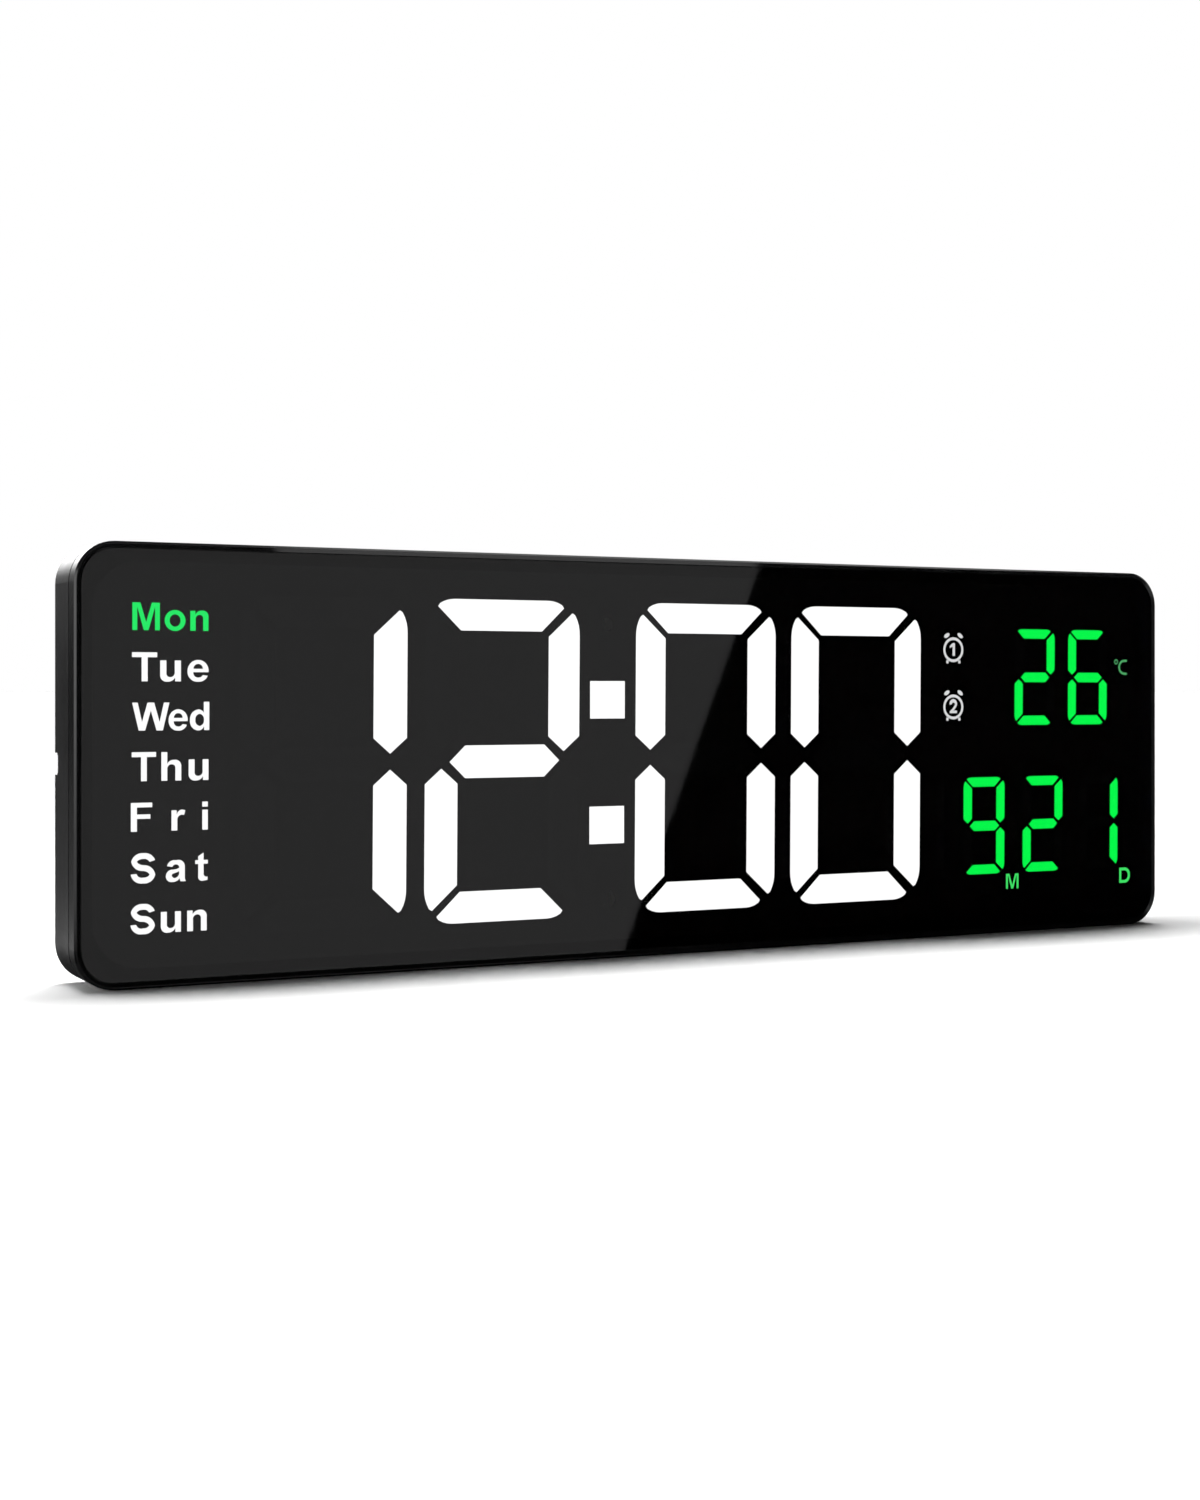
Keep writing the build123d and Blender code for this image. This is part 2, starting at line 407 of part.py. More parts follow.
# ---------------------------------------------------------------- reflector with a light well behind every window
with BuildPart() as reflector:
    with BuildSketch(at(PLATE_REAR)):
        with Locations((0, MID_Z)):
            RectangleRounded(OPENING_W - 0.6, OPENING_H - 0.6, OPENING_R - 0.3)
    extrude(amount=PLATE_REAR - MASK_REAR)
    with BuildSketch(at(BOARD_FRONT)):
        with Locations((0, MID_Z)):
            RectangleRounded(OPENING_W - 0.6, OPENING_H - 0.6, OPENING_R - 0.3)
            RectangleRounded(OPENING_W - 3.6, OPENING_H - 3.6, OPENING_R - 1.8, mode=Mode.SUBTRACT)
        for outline in ([grown(o, BIG_GROW[0]) for o in BIG_BARS] + [grown(o, SMALL_GROW[0]) for o in SMALL_BARS]
                        + [grown(o, BOX_GROW[0]) for o in LEGEND_BOXES]):
            with BuildLine():
                Polyline(*outline, close=True)
            make_face()
        with Locations(IR_AT):
            Circle(6.6)
        with Locations(LIGHT_AT):
            Circle(4.6)
    extrude(amount=BOARD_FRONT - PLATE_REAR)
    with BuildSketch(at(BOARD_FRONT)):
        for outline in (BIG_BARS + SMALL_BARS + [grown(o, -0.6) for o in LEGEND_BOXES]):
            with BuildLine():
                Polyline(*outline, close=True)
            make_face()
        with Locations(IR_AT):
            Circle(5.6)
        with Locations(LIGHT_AT):
            Circle(3.6)
    extrude(amount=BOARD_FRONT - MASK_REAR, mode=Mode.SUBTRACT)
    # seats of the diffusers
    with BuildSketch(at(DIFFUSER_REAR)):
        for outline in ([grown(o, BIG_GROW[1]) for o in BIG_BARS] + [grown(o, SMALL_GROW[1]) for o in SMALL_BARS]
                        + [grown(o, BOX_GROW[1]) for o in LEGEND_BOXES]):
            with BuildLine():
                Polyline(*outline, close=True)
            make_face()
    extrude(amount=DIFFUSER_REAR - MASK_REAR, mode=Mode.SUBTRACT)
    # room for the frame's posts
    with BuildSketch(at(BOARD_FRONT)):
        with Locations(*COVER_POSTS):
            Circle(COVER_POST_R + 0.4)
        with Locations(*COVER_MID_POSTS):
            Circle(COVER_MID_R + 0.4)
        with Locations(*BOARD_POSTS):
            Circle(BOARD_POST_R + 0.7)
    extrude(amount=BOARD_FRONT - PLATE_REAR, mode=Mode.SUBTRACT)
reflector.part.label = "reflector"
export_step(reflector.part, "parts/reflector.step")

# ---------------------------------------------------------------- diffusers behind the windows
with BuildPart() as hour_diffusers:
    with BuildSketch(at(DIFFUSER_REAR)):
        for outline in HOUR_LIT:
            with BuildLine():
                Polyline(*grown(outline, BIG_GROW[2]), close=True)
            make_face()
    extrude(amount=DIFFUSER_REAR - DIFFUSER_FRONT)
hour_diffusers.part.label = "hour_diffusers"
export_step(hour_diffusers.part, "parts/hour_diffusers.step")

with BuildPart() as minute_diffusers:
    with BuildSketch(at(DIFFUSER_REAR)):
        for outline in MINUTE_LIT:
            with BuildLine():
                Polyline(*grown(outline, BIG_GROW[2]), close=True)
            make_face()
    extrude(amount=DIFFUSER_REAR - DIFFUSER_FRONT)
minute_diffusers.part.label = "minute_diffusers"
export_step(minute_diffusers.part, "parts/minute_diffusers.step")

with BuildPart() as colon_diffusers:
    with BuildSketch(at(DIFFUSER_REAR)):
        for outline in COLON:
            with BuildLine():
                Polyline(*grown(outline, BIG_GROW[2]), close=True)
            make_face()
    extrude(amount=DIFFUSER_REAR - DIFFUSER_FRONT)
colon_diffusers.part.label = "colon_diffusers"
export_step(colon_diffusers.part, "parts/colon_diffusers.step")

with BuildPart() as temperature_diffusers:
    with BuildSketch(at(DIFFUSER_REAR)):
        for outline in TEMP_LIT:
            with BuildLine():
                Polyline(*grown(outline, SMALL_GROW[2]), close=True)
            make_face()
    extrude(amount=DIFFUSER_REAR - DIFFUSER_FRONT)
temperature_diffusers.part.label = "temperature_diffusers"
export_step(temperature_diffusers.part, "parts/temperature_diffusers.step")

with BuildPart() as date_diffusers:
    with BuildSketch(at(DIFFUSER_REAR)):
        for outline in DATE_LIT:
            with BuildLine():
                Polyline(*grown(outline, SMALL_GROW[2]), close=True)
            make_face()
    extrude(amount=DIFFUSER_REAR - DIFFUSER_FRONT)
date_diffusers.part.label = "date_diffusers"
export_step(date_diffusers.part, "parts/date_diffusers.step")

with BuildPart() as unlit_diffusers:
    with BuildSketch(at(DIFFUSER_REAR)):
        for outline in [grown(o, BIG_GROW[2]) for o in BIG_UNLIT] + [grown(o, SMALL_GROW[2]) for o in SMALL_UNLIT]:
            with BuildLine():
                Polyline(*outline, close=True)
            make_face()
    extrude(amount=DIFFUSER_REAR - DIFFUSER_FRONT)
unlit_diffusers.part.label = "unlit_diffusers"
export_step(unlit_diffusers.part, "parts/unlit_diffusers.step")

with BuildPart() as active_day_diffuser:
    with BuildSketch(at(DIFFUSER_REAR)):
        with BuildLine():
            Polyline(*WEEK_BOXES[0], close=True)
        make_face()
    extrude(amount=DIFFUSER_REAR - DIFFUSER_FRONT)
active_day_diffuser.part.label = "active_day_diffuser"
export_step(active_day_diffuser.part, "parts/active_day_diffuser.step")

with BuildPart() as weekday_diffusers:
    with BuildSketch(at(DIFFUSER_REAR)):
        for outline in WEEK_BOXES[1:]:
            with BuildLine():
                Polyline(*outline, close=True)
            make_face()
    extrude(amount=DIFFUSER_REAR - DIFFUSER_FRONT)
weekday_diffusers.part.label = "weekday_diffusers"
export_step(weekday_diffusers.part, "parts/weekday_diffusers.step")

with BuildPart() as alarm_diffusers:
    with BuildSketch(at(DIFFUSER_REAR)):
        for outline in ALARM_BOXES:
            with BuildLine():
                Polyline(*outline, close=True)
            make_face()
    extrude(amount=DIFFUSER_REAR - DIFFUSER_FRONT)
alarm_diffusers.part.label = "alarm_diffusers"
export_step(alarm_diffusers.part, "parts/alarm_diffusers.step")

with BuildPart() as degree_diffuser:
    with BuildSketch(at(DIFFUSER_REAR)):
        with BuildLine():
            Polyline(*DEGREE_BOX[0], close=True)
        make_face()
    extrude(amount=DIFFUSER_REAR - DIFFUSER_FRONT)
degree_diffuser.part.label = "degree_diffuser"
export_step(degree_diffuser.part, "parts/degree_diffuser.step")

with BuildPart() as date_letter_diffusers:
    with BuildSketch(at(DIFFUSER_REAR)):
        for outline in LETTER_BOXES:
            with BuildLine():
                Polyline(*outline, close=True)
            make_face()
    extrude(amount=DIFFUSER_REAR - DIFFUSER_FRONT)
date_letter_diffusers.part.label = "date_letter_diffusers"
export_step(date_letter_diffusers.part, "parts/date_letter_diffusers.step")

# ---------------------------------------------------------------- board and lamps
with BuildPart() as display_board:
    with BuildSketch(at(BOARD_REAR)):
        with Locations((0, MID_Z)):
            RectangleRounded(BOARD_W, BOARD_H, BOARD_R)
        with Locations(*COVER_POSTS, *COVER_MID_POSTS):
            Circle(COVER_SHANK_R + 0.2, mode=Mode.SUBTRACT)
        with Locations(*BOARD_POSTS):
            Circle(BOARD_SHANK_R + 0.2, mode=Mode.SUBTRACT)
    extrude(amount=BOARD_REAR - BOARD_FRONT)
display_board.part.label = "display_board"
export_step(display_board.part, "parts/display_board.step")

WHITE_SPOTS = (spots("abcdefg", HOUR_TENS, DIGIT_Z) + spots("abcdefg", HOUR_UNITS, DIGIT_Z)
               + spots("abcdefg", MINUTE_TENS, DIGIT_Z) + spots("abcdefg", MINUTE_UNITS, DIGIT_Z)
               + [(COLON_X + x, z) for z in COLON_Z for x in (-3.2, 3.2)]
               + [(WEEK_X + x, z + 4.35) for z in WEEK_BASE[1:] for x in (-7.0, 7.0)]
               + [(ALARM_X, z) for z in ALARM_Z])
GREEN_SPOTS = (spots("abcdefg", TEMP_X[0], TEMP_Z, SMALL) + spots("abcdefg", TEMP_X[1], TEMP_Z, SMALL)
               + spots("bc", DATE_X[0], DATE_Z, SMALL) + spots("abcdefg", DATE_X[1], DATE_Z, SMALL)
               + spots("abcdefg", DATE_X[2], DATE_Z, SMALL) + spots("abcdefg", DATE_X[3], DATE_Z, SMALL)
               + [(WEEK_X + x, WEEK_BASE[0] + 4.35) for x in (-7.0, 7.0)] + [DEGREE_AT, MONTH_AT, DAY_AT])

with BuildPart() as white_leds:
    with BuildSketch(at(BOARD_FRONT)):
        with Locations(*WHITE_SPOTS):
            Rectangle(3.5, 2.8)
    extrude(amount=0.8)
white_leds.part.label = "white_leds"
export_step(white_leds.part, "parts/white_leds.step")

with BuildPart() as green_leds:
    with BuildSketch(at(BOARD_FRONT)):
        with Locations(*GREEN_SPOTS):
            Rectangle(2.0, 1.6)
    extrude(amount=0.7)
green_leds.part.label = "green_leds"
export_step(green_leds.part, "parts/green_leds.step")

# remote receiver: a block with a domed window towards the face
with BuildPart() as ir_receiver:
    with BuildSketch(at(BOARD_FRONT)):
        with Locations(IR_AT):
            Rectangle(6.8, 7.2)
    extrude(amount=3.6)
    with BuildSketch(at(BOARD_FRONT - 3.6)):
        with Locations(IR_AT):
            Circle(2.4)
    extrude(amount=1.4)
    fillet(ir_receiver.faces().sort_by(Axis.Y)[0].edges(), radius=0.9)
ir_receiver.part.label = "ir_receiver"
export_step(ir_receiver.part, "parts/ir_receiver.step")

with BuildPart() as light_sensor:
    with BuildSketch(at(BOARD_FRONT)):
        with Locations(LIGHT_AT):
            Circle(2.5)
    extrude(amount=2.0)
    fillet(light_sensor.faces().sort_by(Axis.Y)[0].edges(), radius=0.4)
light_sensor.part.label = "light_sensor"
export_step(light_sensor.part, "parts/light_sensor.step")

# ---------------------------------------------------------------- parts on the rear of the board
with BuildPart() as controller_chip:
    with BuildSketch(at(BOARD_REAR + 1.6)):
        with Locations((-10, 62)):
            Rectangle(10, 10)
    extrude(amount=1.4)
    with BuildSketch(at(BOARD_REAR + 0.5)):
        with Locations((-10, 62)):
            with GridLocations(0.8, 12.0, 10, 2):
                Rectangle(0.35, 2.0)
            with GridLocations(12.0, 0.8, 2, 10):
                Rectangle(2.0, 0.35)
    extrude(amount=0.5)
    chamfer(controller_chip.faces().sort_by(Axis.Y)[-1].edges(), length=0.2)
controller_chip.part.label = "controller_chip"
export_step(controller_chip.part, "parts/controller_chip.step")

DRIVER_AT = [(-95, 62), (-52, 62), (135, 78)]
with BuildPart() as driver_chips:
    with BuildSketch(at(BOARD_REAR + 1.5)):
        with Locations(*DRIVER_AT):
            Rectangle(15.4, 7.5)
    extrude(amount=1.3)
    with BuildSketch(at(BOARD_REAR + 0.5)):
        with Locations(*DRIVER_AT):
            with GridLocations(1.27, 9.0, 12, 2):
                Rectangle(0.45, 2.0)
    extrude(amount=0.5)
driver_chips.part.label = "driver_chips"
export_step(driver_chips.part, "parts/driver_chips.step")

with BuildPart() as quartz_crystal:
    with BuildSketch(at(BOARD_REAR + 3.5)):
        with Locations((-10, 48)):
            SlotOverall(11.0, 4.6)
    extrude(amount=3.5)
    fillet(quartz_crystal.faces().sort_by(Axis.Y)[-1].edges(), radius=0.5)
quartz_crystal.part.label = "quartz_crystal"
export_step(quartz_crystal.part, "parts/quartz_crystal.step")

CAPACITOR_AT = [(-125, 66), (-125, 78)]
with BuildPart() as capacitors:
    with BuildSketch(at(BOARD_REAR + 8.0)):
        with Locations(*CAPACITOR_AT):
            Circle(4.0)
    extrude(amount=8.0)
    fillet(capacitors.faces().sort_by(Axis.Y)[-2:].edges(), radius=0.5)
capacitors.part.label = "capacitors"
export_step(capacitors.part, "parts/capacitors.step")

with BuildPart() as voltage_regulator:
    with BuildSketch(at(BOARD_REAR + 1.8)):
        with Locations((-110, 90)):
            Rectangle(6.5, 3.5)
    extrude(amount=1.8)
    with BuildSketch(at(BOARD_REAR + 0.4)):
        with Locations((-112.3, 87.4), (-110, 87.4), (-107.7, 87.4)):
            Rectangle(0.8, 1.8)
        with Locations((-110, 92.6)):
            Rectangle(3.0, 1.8)
    extrude(amount=0.4)
voltage_regulator.part.label = "voltage_regulator"
export_step(voltage_regulator.part, "parts/voltage_regulator.step")

with BuildPart() as buzzer:
    with BuildSketch(at(BOARD_REAR + 8.5)):
        with Locations(BUZZER_AT):
            Circle(6.0)
    extrude(amount=8.5)
    with BuildSketch(at(BOARD_REAR + 8.5)):
        with Locations(BUZZER_AT):
            Circle(1.0)
    extrude(amount=3.0, mode=Mode.SUBTRACT)
buzzer.part.label = "buzzer"
export_step(buzzer.part, "parts/buzzer.step")

TEMP_SENSOR_AT = (-60.0, 22.0)
with BuildPart() as temperature_sensor:
    with BuildSketch(at(BOARD_REAR + 9.6)):
        with Locations(TEMP_SENSOR_AT):
            Circle(1.3)
    extrude(amount=4.0)
    fillet(temperature_sensor.faces().sort_by(Axis.Y)[-1].edges(), radius=0.8)
    with BuildSketch(at(BOARD_REAR + 5.6)):
        with Locations((TEMP_SENSOR_AT[0] - 0.7, TEMP_SENSOR_AT[1]), (TEMP_SENSOR_AT[0] + 0.7, TEMP_SENSOR_AT[1])):
            Circle(0.25)
    extrude(amount=5.6)
temperature_sensor.part.label = "temperature_sensor"
export_step(temperature_sensor.part, "parts/temperature_sensor.step")

# supply socket: its mouth faces the left end of the case
JACK_X0, JACK_X1 = POCKET_X1 + 1.6, POCKET_X1 + 15.6
with BuildPart() as dc_jack:
    with BuildSketch(at(BOARD_REAR + 10.0)):
        with Locations(((JACK_X0 + JACK_X1) / 2, SOCKET_Z)):
            Rectangle(JACK_X1 - JACK_X0, 9.0)
    extrude(amount=10.0)
    chamfer(dc_jack.faces().sort_by(Axis.Y)[-1].edges(), length=0.4)
    with BuildSketch(Plane.YZ.offset(JACK_X0)):
        with Locations((SOCKET_D - FRONT, SOCKET_Z)):
            Circle(3.1)
            Circle(1.0, mode=Mode.SUBTRACT)
    extrude(amount=10.0, mode=Mode.SUBTRACT)
    with BuildSketch(Plane.YZ.offset(JACK_X0)):
        with Locations((SOCKET_D - FRONT, SOCKET_Z)):
            Circle(1.4)
    extrude(amount=1.0, mode=Mode.SUBTRACT)
dc_jack.part.label = "dc_jack"
export_step(dc_jack.part, "parts/dc_jack.step")

# tact switches with a well for each button's stem
SWITCH_TOP = BOARD_REAR + 4.3
with BuildPart() as tact_switches:
    with BuildSketch(at(SWITCH_TOP - 0.8)):
        with Locations(*[(x, BUTTON_Z) for x in BUTTON_X]):
            Rectangle(6.0, 6.0)
    extrude(amount=SWITCH_TOP - 0.8 - BOARD_REAR)
    with BuildSketch(at(SWITCH_TOP)):
        with Locations(*[(x, BUTTON_Z) for x in BUTTON_X]):
            Circle(2.5)
    extrude(amount=0.8)
    with BuildSketch(at(SWITCH_TOP)):
        with Locations(*[(x, BUTTON_Z) for x in BUTTON_X]):
            Circle(1.75)
    extrude(amount=1.4, mode=Mode.SUBTRACT)
tact_switches.part.label = "tact_switches"
export_step(tact_switches.part, "parts/tact_switches.step")

# ---------------------------------------------------------------- rear housing
CELL_SEAT_R, CELL_FLOOR = 10.35, 18.2
GROOVE_D0, GROOVE_D1, GROOVE_R = 21.9, 23.4, 14.4
LIP_R = 12.7

with BuildPart() as rear_housing:
    with BuildSketch(at(DEPTH)):
        with Locations((0, MID_Z)):
            RectangleRounded(WIDTH, HEIGHT, CORNER_R)
    extrude(amount=DEPTH - SEAM_D)
    chamfer(rear_housing.faces().sort_by(Axis.Y)[-1].edges(), length=REAR_BEVEL)
    # seam groove around the joint with the frame
    with BuildSketch(at(SEAM_D + SEAM_GAP)):
        with Locations((0, MID_Z)):
            RectangleRounded(WIDTH + 4, HEIGHT + 4, CORNER_R + 2)
            RectangleRounded(WIDTH - 2 * SEAM_DEPTH, HEIGHT - 2 * SEAM_DEPTH, CORNER_R - SEAM_DEPTH,
                             mode=Mode.SUBTRACT)
    extrude(amount=SEAM_GAP, mode=Mode.SUBTRACT)
    with BuildSketch(at(BACK_IN)):
        with Locations((0, MID_Z)):
            RectangleRounded(WIDTH - 2 * WALL, HEIGHT - 2 * WALL, CORNER_R - WALL)
    extrude(amount=BACK_IN - SEAM_D, mode=Mode.SUBTRACT)
    # screw wells that press the board onto the frame's posts
    with BuildSketch(at(BACK_IN)):
        with Locations(*COVER_POSTS, *COVER_MID_POSTS):
            Circle(WELL_R)
    extrude(amount=BACK_IN - BOARD_REAR)
    # shrouds behind the keyholes
    with BuildSketch(at(BACK_IN)):
        with Locations((-KEYHOLE_X, KEYHOLE_Z + KEYHOLE_RISE / 2), (KEYHOLE_X, KEYHOLE_Z + KEYHOLE_RISE / 2)):
            SlotCenterToCenter(KEYHOLE_RISE, 12.4, rotation=90)
    extrude(amount=BACK_IN - 17.5)
    # walls of the supply pocket
    with BuildSketch(at(BACK_IN)):
        with Locations(((POCKET_X0 + POCKET_X1 + 0.5) / 2, (POCKET_Z0 + POCKET_Z1) / 2)):
            Rectangle(POCKET_X1 - POCKET_X0 + 2.5, POCKET_Z1 - POCKET_Z0 + 3.0)
    extrude(amount=BACK_IN - 12.9)
    # drum of the back-up cell
    with BuildSketch(at(BACK_IN)):
        with Locations(CELL_AT):
            Circle(16.2)
    extrude(amount=BACK_IN - 17.0)
    # walls of the leg recesses, with a boss above each pin
    with BuildSketch(at(BACK_IN)):
        with Locations((-124.0, 8.5), (124.0, 8.5)):
            Rectangle(65.0, 16.0)
        with Locations((-LEG_X, 17.5), (LEG_X, 17.5)):
            Rectangle(9.0, 4.0)
    extrude(amount=BACK_IN - 17.4)

    # screw wells: head bore and shank hole
    with BuildSketch(at(DEPTH)):
        with Locations(*COVER_POSTS, *COVER_MID_POSTS):
            Circle(WELL_BORE_R)
    extrude(amount=DEPTH - WELL_FLOOR, mode=Mode.SUBTRACT)
    with BuildSketch(at(WELL_FLOOR)):
        with Locations(*COVER_POSTS, *COVER_MID_POSTS):
            Circle(COVER_SHANK_R + 0.2)
    extrude(amount=WELL_FLOOR - BOARD_REAR, mode=Mode.SUBTRACT)
    # keyholes
    with BuildSketch(at(BACK_IN)):
        with Locations((-KEYHOLE_X, KEYHOLE_Z + KEYHOLE_RISE / 2), (KEYHOLE_X, KEYHOLE_Z + KEYHOLE_RISE / 2)):
            SlotCenterToCenter(KEYHOLE_RISE, 9.8, rotation=90)
    extrude(amount=BACK_IN - 18.7, mode=Mode.SUBTRACT)
    with BuildSketch(at(DEPTH)):
        with Locations((-KEYHOLE_X, KEYHOLE_Z), (KEYHOLE_X, KEYHOLE_Z)):
            Circle(KEYHOLE_R)
        with Locations((-KEYHOLE_X, KEYHOLE_Z + KEYHOLE_RISE / 2), (KEYHOLE_X, KEYHOLE_Z + KEYHOLE_RISE / 2)):
            SlotCenterToCenter(KEYHOLE_RISE, 2 * KEYSLOT_R, rotation=90)
    extrude(amount=BACK_T, mode=Mode.SUBTRACT)
    # supply pocket, the hole for the plug and the notch in the left wall
    with BuildSketch(at(DEPTH)):
        with Locations(((POCKET_X0 + POCKET_X1) / 2, (POCKET_Z0 + POCKET_Z1) / 2)):
            RectangleRounded(POCKET_X1 - POCKET_X0, POCKET_Z1 - POCKET_Z0, 1.5)
    extrude(amount=DEPTH - POCKET_D, mode=Mode.SUBTRACT)
    with BuildSketch(Plane.YZ.offset(POCKET_X1 - 0.5)):
        with Locations((SOCKET_D - FRONT, SOCKET_Z)):
            Circle(3.4)
    extrude(amount=3.0, mode=Mode.SUBTRACT)
    with BuildSketch(Plane.YZ.offset(-WIDTH / 2 - 1)):
        with BuildLine():
            Polyline((FRONT + 0.5, SOCKET_Z - NOTCH_H / 2 - 1.4), (FRONT - 0.9, SOCKET_Z - NOTCH_H / 2),
                     (FRONT - NOTCH_DEPTH + 1.0, SOCKET_Z - NOTCH_H / 2),
                     (FRONT - NOTCH_DEPTH, SOCKET_Z - NOTCH_H / 2 + 1.0),
                     (FRONT - NOTCH_DEPTH, SOCKET_Z + NOTCH_H / 2 - 1.0),
                     (FRONT - NOTCH_DEPTH + 1.0, SOCKET_Z + NOTCH_H / 2),
                     (FRONT - 0.9, SOCKET_Z + NOTCH_H / 2), (FRONT + 0.5, SOCKET_Z + NOTCH_H / 2 + 1.4), close=True)
        make_face()
    extrude(amount=WALL + 3.0, mode=Mode.SUBTRACT)
    # seat, bayonet groove and lip of the back-up cell
    with BuildSketch(at(GROOVE_D0)):
        with Locations(CELL_AT):
            Circle(CELL_SEAT_R)
    extrude(amount=GROOVE_D0 - CELL_FLOOR, mode=Mode.SUBTRACT)
    with BuildSketch(at(GROOVE_D1)):
        with Locations(CELL_AT):
            Circle(GROOVE_R)
    extrude(amount=GROOVE_D1 - GROOVE_D0, mode=Mode.SUBTRACT)
    with BuildSketch(at(DEPTH)):
        with Locations(CELL_AT):
            Circle(LIP_R)
            Rectangle(2 * GROOVE_R, 8.2, rotation=-45)
    extrude(amount=DEPTH - GROOVE_D1, mode=Mode.SUBTRACT)
    # openings in the drum's floor for the contacts' tails
    with BuildSketch(at(CELL_FLOOR)):
        with Locations((CELL_AT[0], CELL_AT[1] - 6.0), (CELL_AT[0], CELL_AT[1] + 10.0)):
            Rectangle(3.6, 2.0)
    extrude(amount=1.2, mode=Mode.SUBTRACT)
    with BuildSketch(at(GROOVE_D0)):
        with Locations((CELL_AT[0], CELL_AT[1] + 10.0)):
            Rectangle(6.6, 2.0)
    extrude(amount=GROOVE_D0 - CELL_FLOOR, mode=Mode.SUBTRACT)
    # button holes
    with BuildSketch(at(DEPTH)):
        with Locations(*[(x, BUTTON_Z) for x in BUTTON_X]):
            Circle(BUTTON_R + 0.25)
    extrude(amount=BACK_T, mode=Mode.SUBTRACT)
    # air slots and sound holes
    with BuildSketch(at(DEPTH)):
        with Locations((-85.0, 108.0)):
            with GridLocations(0.0, 4.2, 1, 5):
                SlotOverall(46.0, 1.8)
        with Locations(TEMP_SENSOR_AT):
            with GridLocations(0.0, 4.2, 1, 3):
                SlotOverall(22.0, 1.8)
        with Locations(BUZZER_AT):
            with PolarLocations(4.0, 6):
                Circle(0.9)
            Circle(0.9)
    extrude(amount=BACK_T, mode=Mode.SUBTRACT)
    # leg recesses, open below except under the pins
    with BuildSketch(at(DEPTH)):
        for side in (-1, 1):
            with Locations((side * 119.0, RECESS_TOP / 2 - 1.0)):
                Rectangle(52.0, RECESS_TOP + 2.0)
            with Locations((side * LEG_X, (RECESS_TOP + 2.8) / 2)):
                Rectangle(10.0, RECESS_TOP - 2.8)
    extrude(amount=DEPTH - RECESS_D, mode=Mode.SUBTRACT)
    with BuildSketch(Plane.XY):
        with Locations((-LEG_X, LEG_D - FRONT), (LEG_X, LEG_D - FRONT)):
            Circle(LEG_PIN_R + 0.02)
    extrude(amount=18.2, mode=Mode.SUBTRACT)
rear_housing.part.label = "rear_housing"
export_step(rear_housing.part, "parts/rear_housing.step")

# ---------------------------------------------------------------- back-up cell
with BuildPart() as coin_cell:
    with BuildSketch(at(CELL_D1)):
        with Locations(CELL_AT):
            Circle(CELL_R)
    extrude(amount=CELL_D1 - CELL_D0 - 0.6)
    with BuildSketch(at(CELL_D0 + 0.6)):
        with Locations(CELL_AT):
            Circle(CELL_R - 1.2)
    extrude(amount=0.6)
    fillet(coin_cell.faces().sort_by(Axis.Y)[-1].edges(), radius=0.4)
coin_cell.part.label = "coin_cell"
export_step(coin_cell.part, "parts/coin_cell.step")

with BuildPart() as cell_contact_negative:
    with BuildSketch(at(CELL_D0)):
        with Locations(CELL_AT):
            Circle(5.0)
        with Locations((CELL_AT[0], CELL_AT[1] - 4.5)):
            Rectangle(3.0, 4.2)
    extrude(amount=CELL_D0 - CELL_FLOOR)
    with BuildSketch(at(CELL_D0)):
        with Locations((CELL_AT[0], CELL_AT[1] - 6.2)):
            Rectangle(3.0, 0.4)
    extrude(amount=CELL_D0 - BOARD_REAR)
cell_contact_negative.part.label = "cell_contact_negative"
export_step(cell_contact_negative.part, "parts/cell_contact_negative.step")

with BuildPart() as cell_contact_positive:
    with BuildSketch(at(CELL_D1 - 0.3)):
        with Locations((CELL_AT[0], CELL_AT[1] + CELL_R + 0.35)):
            Rectangle(5.6, 0.4)
    extrude(amount=CELL_D1 - 0.3 - CELL_FLOOR)
    with BuildSketch(at(CELL_FLOOR)):
        with Locations((CELL_AT[0], CELL_AT[1] + CELL_R + 0.35)):
            Rectangle(3.0, 0.4)
    extrude(amount=CELL_FLOOR - BOARD_REAR)
cell_contact_positive.part.label = "cell_contact_positive"
export_step(cell_contact_positive.part, "parts/cell_contact_positive.step")

# bayonet cap: a disc with two lugs and a coin slot
with BuildPart() as battery_cap:
    with BuildSketch(at(DEPTH - 0.15)):
        with Locations(CELL_AT):
            Circle(CAP_R)
    extrude(amount=DEPTH - 0.15 - 22.0)
    chamfer(battery_cap.faces().sort_by(Axis.Y)[-1].edges(), length=0.3)
    with BuildSketch(at(23.2)):
        with Locations(CELL_AT):
            Circle(CAP_LUG_R)
            Circle(CAP_R - 1.0, mode=Mode.SUBTRACT)
            Rectangle(2 * CAP_LUG_R, 7.0, mode=Mode.INTERSECT)
    extrude(amount=1.2)
    with BuildSketch(at(DEPTH)):
        with Locations(CELL_AT):
            SlotOverall(16.0, 2.2)
    extrude(amount=1.35, mode=Mode.SUBTRACT)
battery_cap.part.label = "battery_cap"
export_step(battery_cap.part, "parts/battery_cap.step")

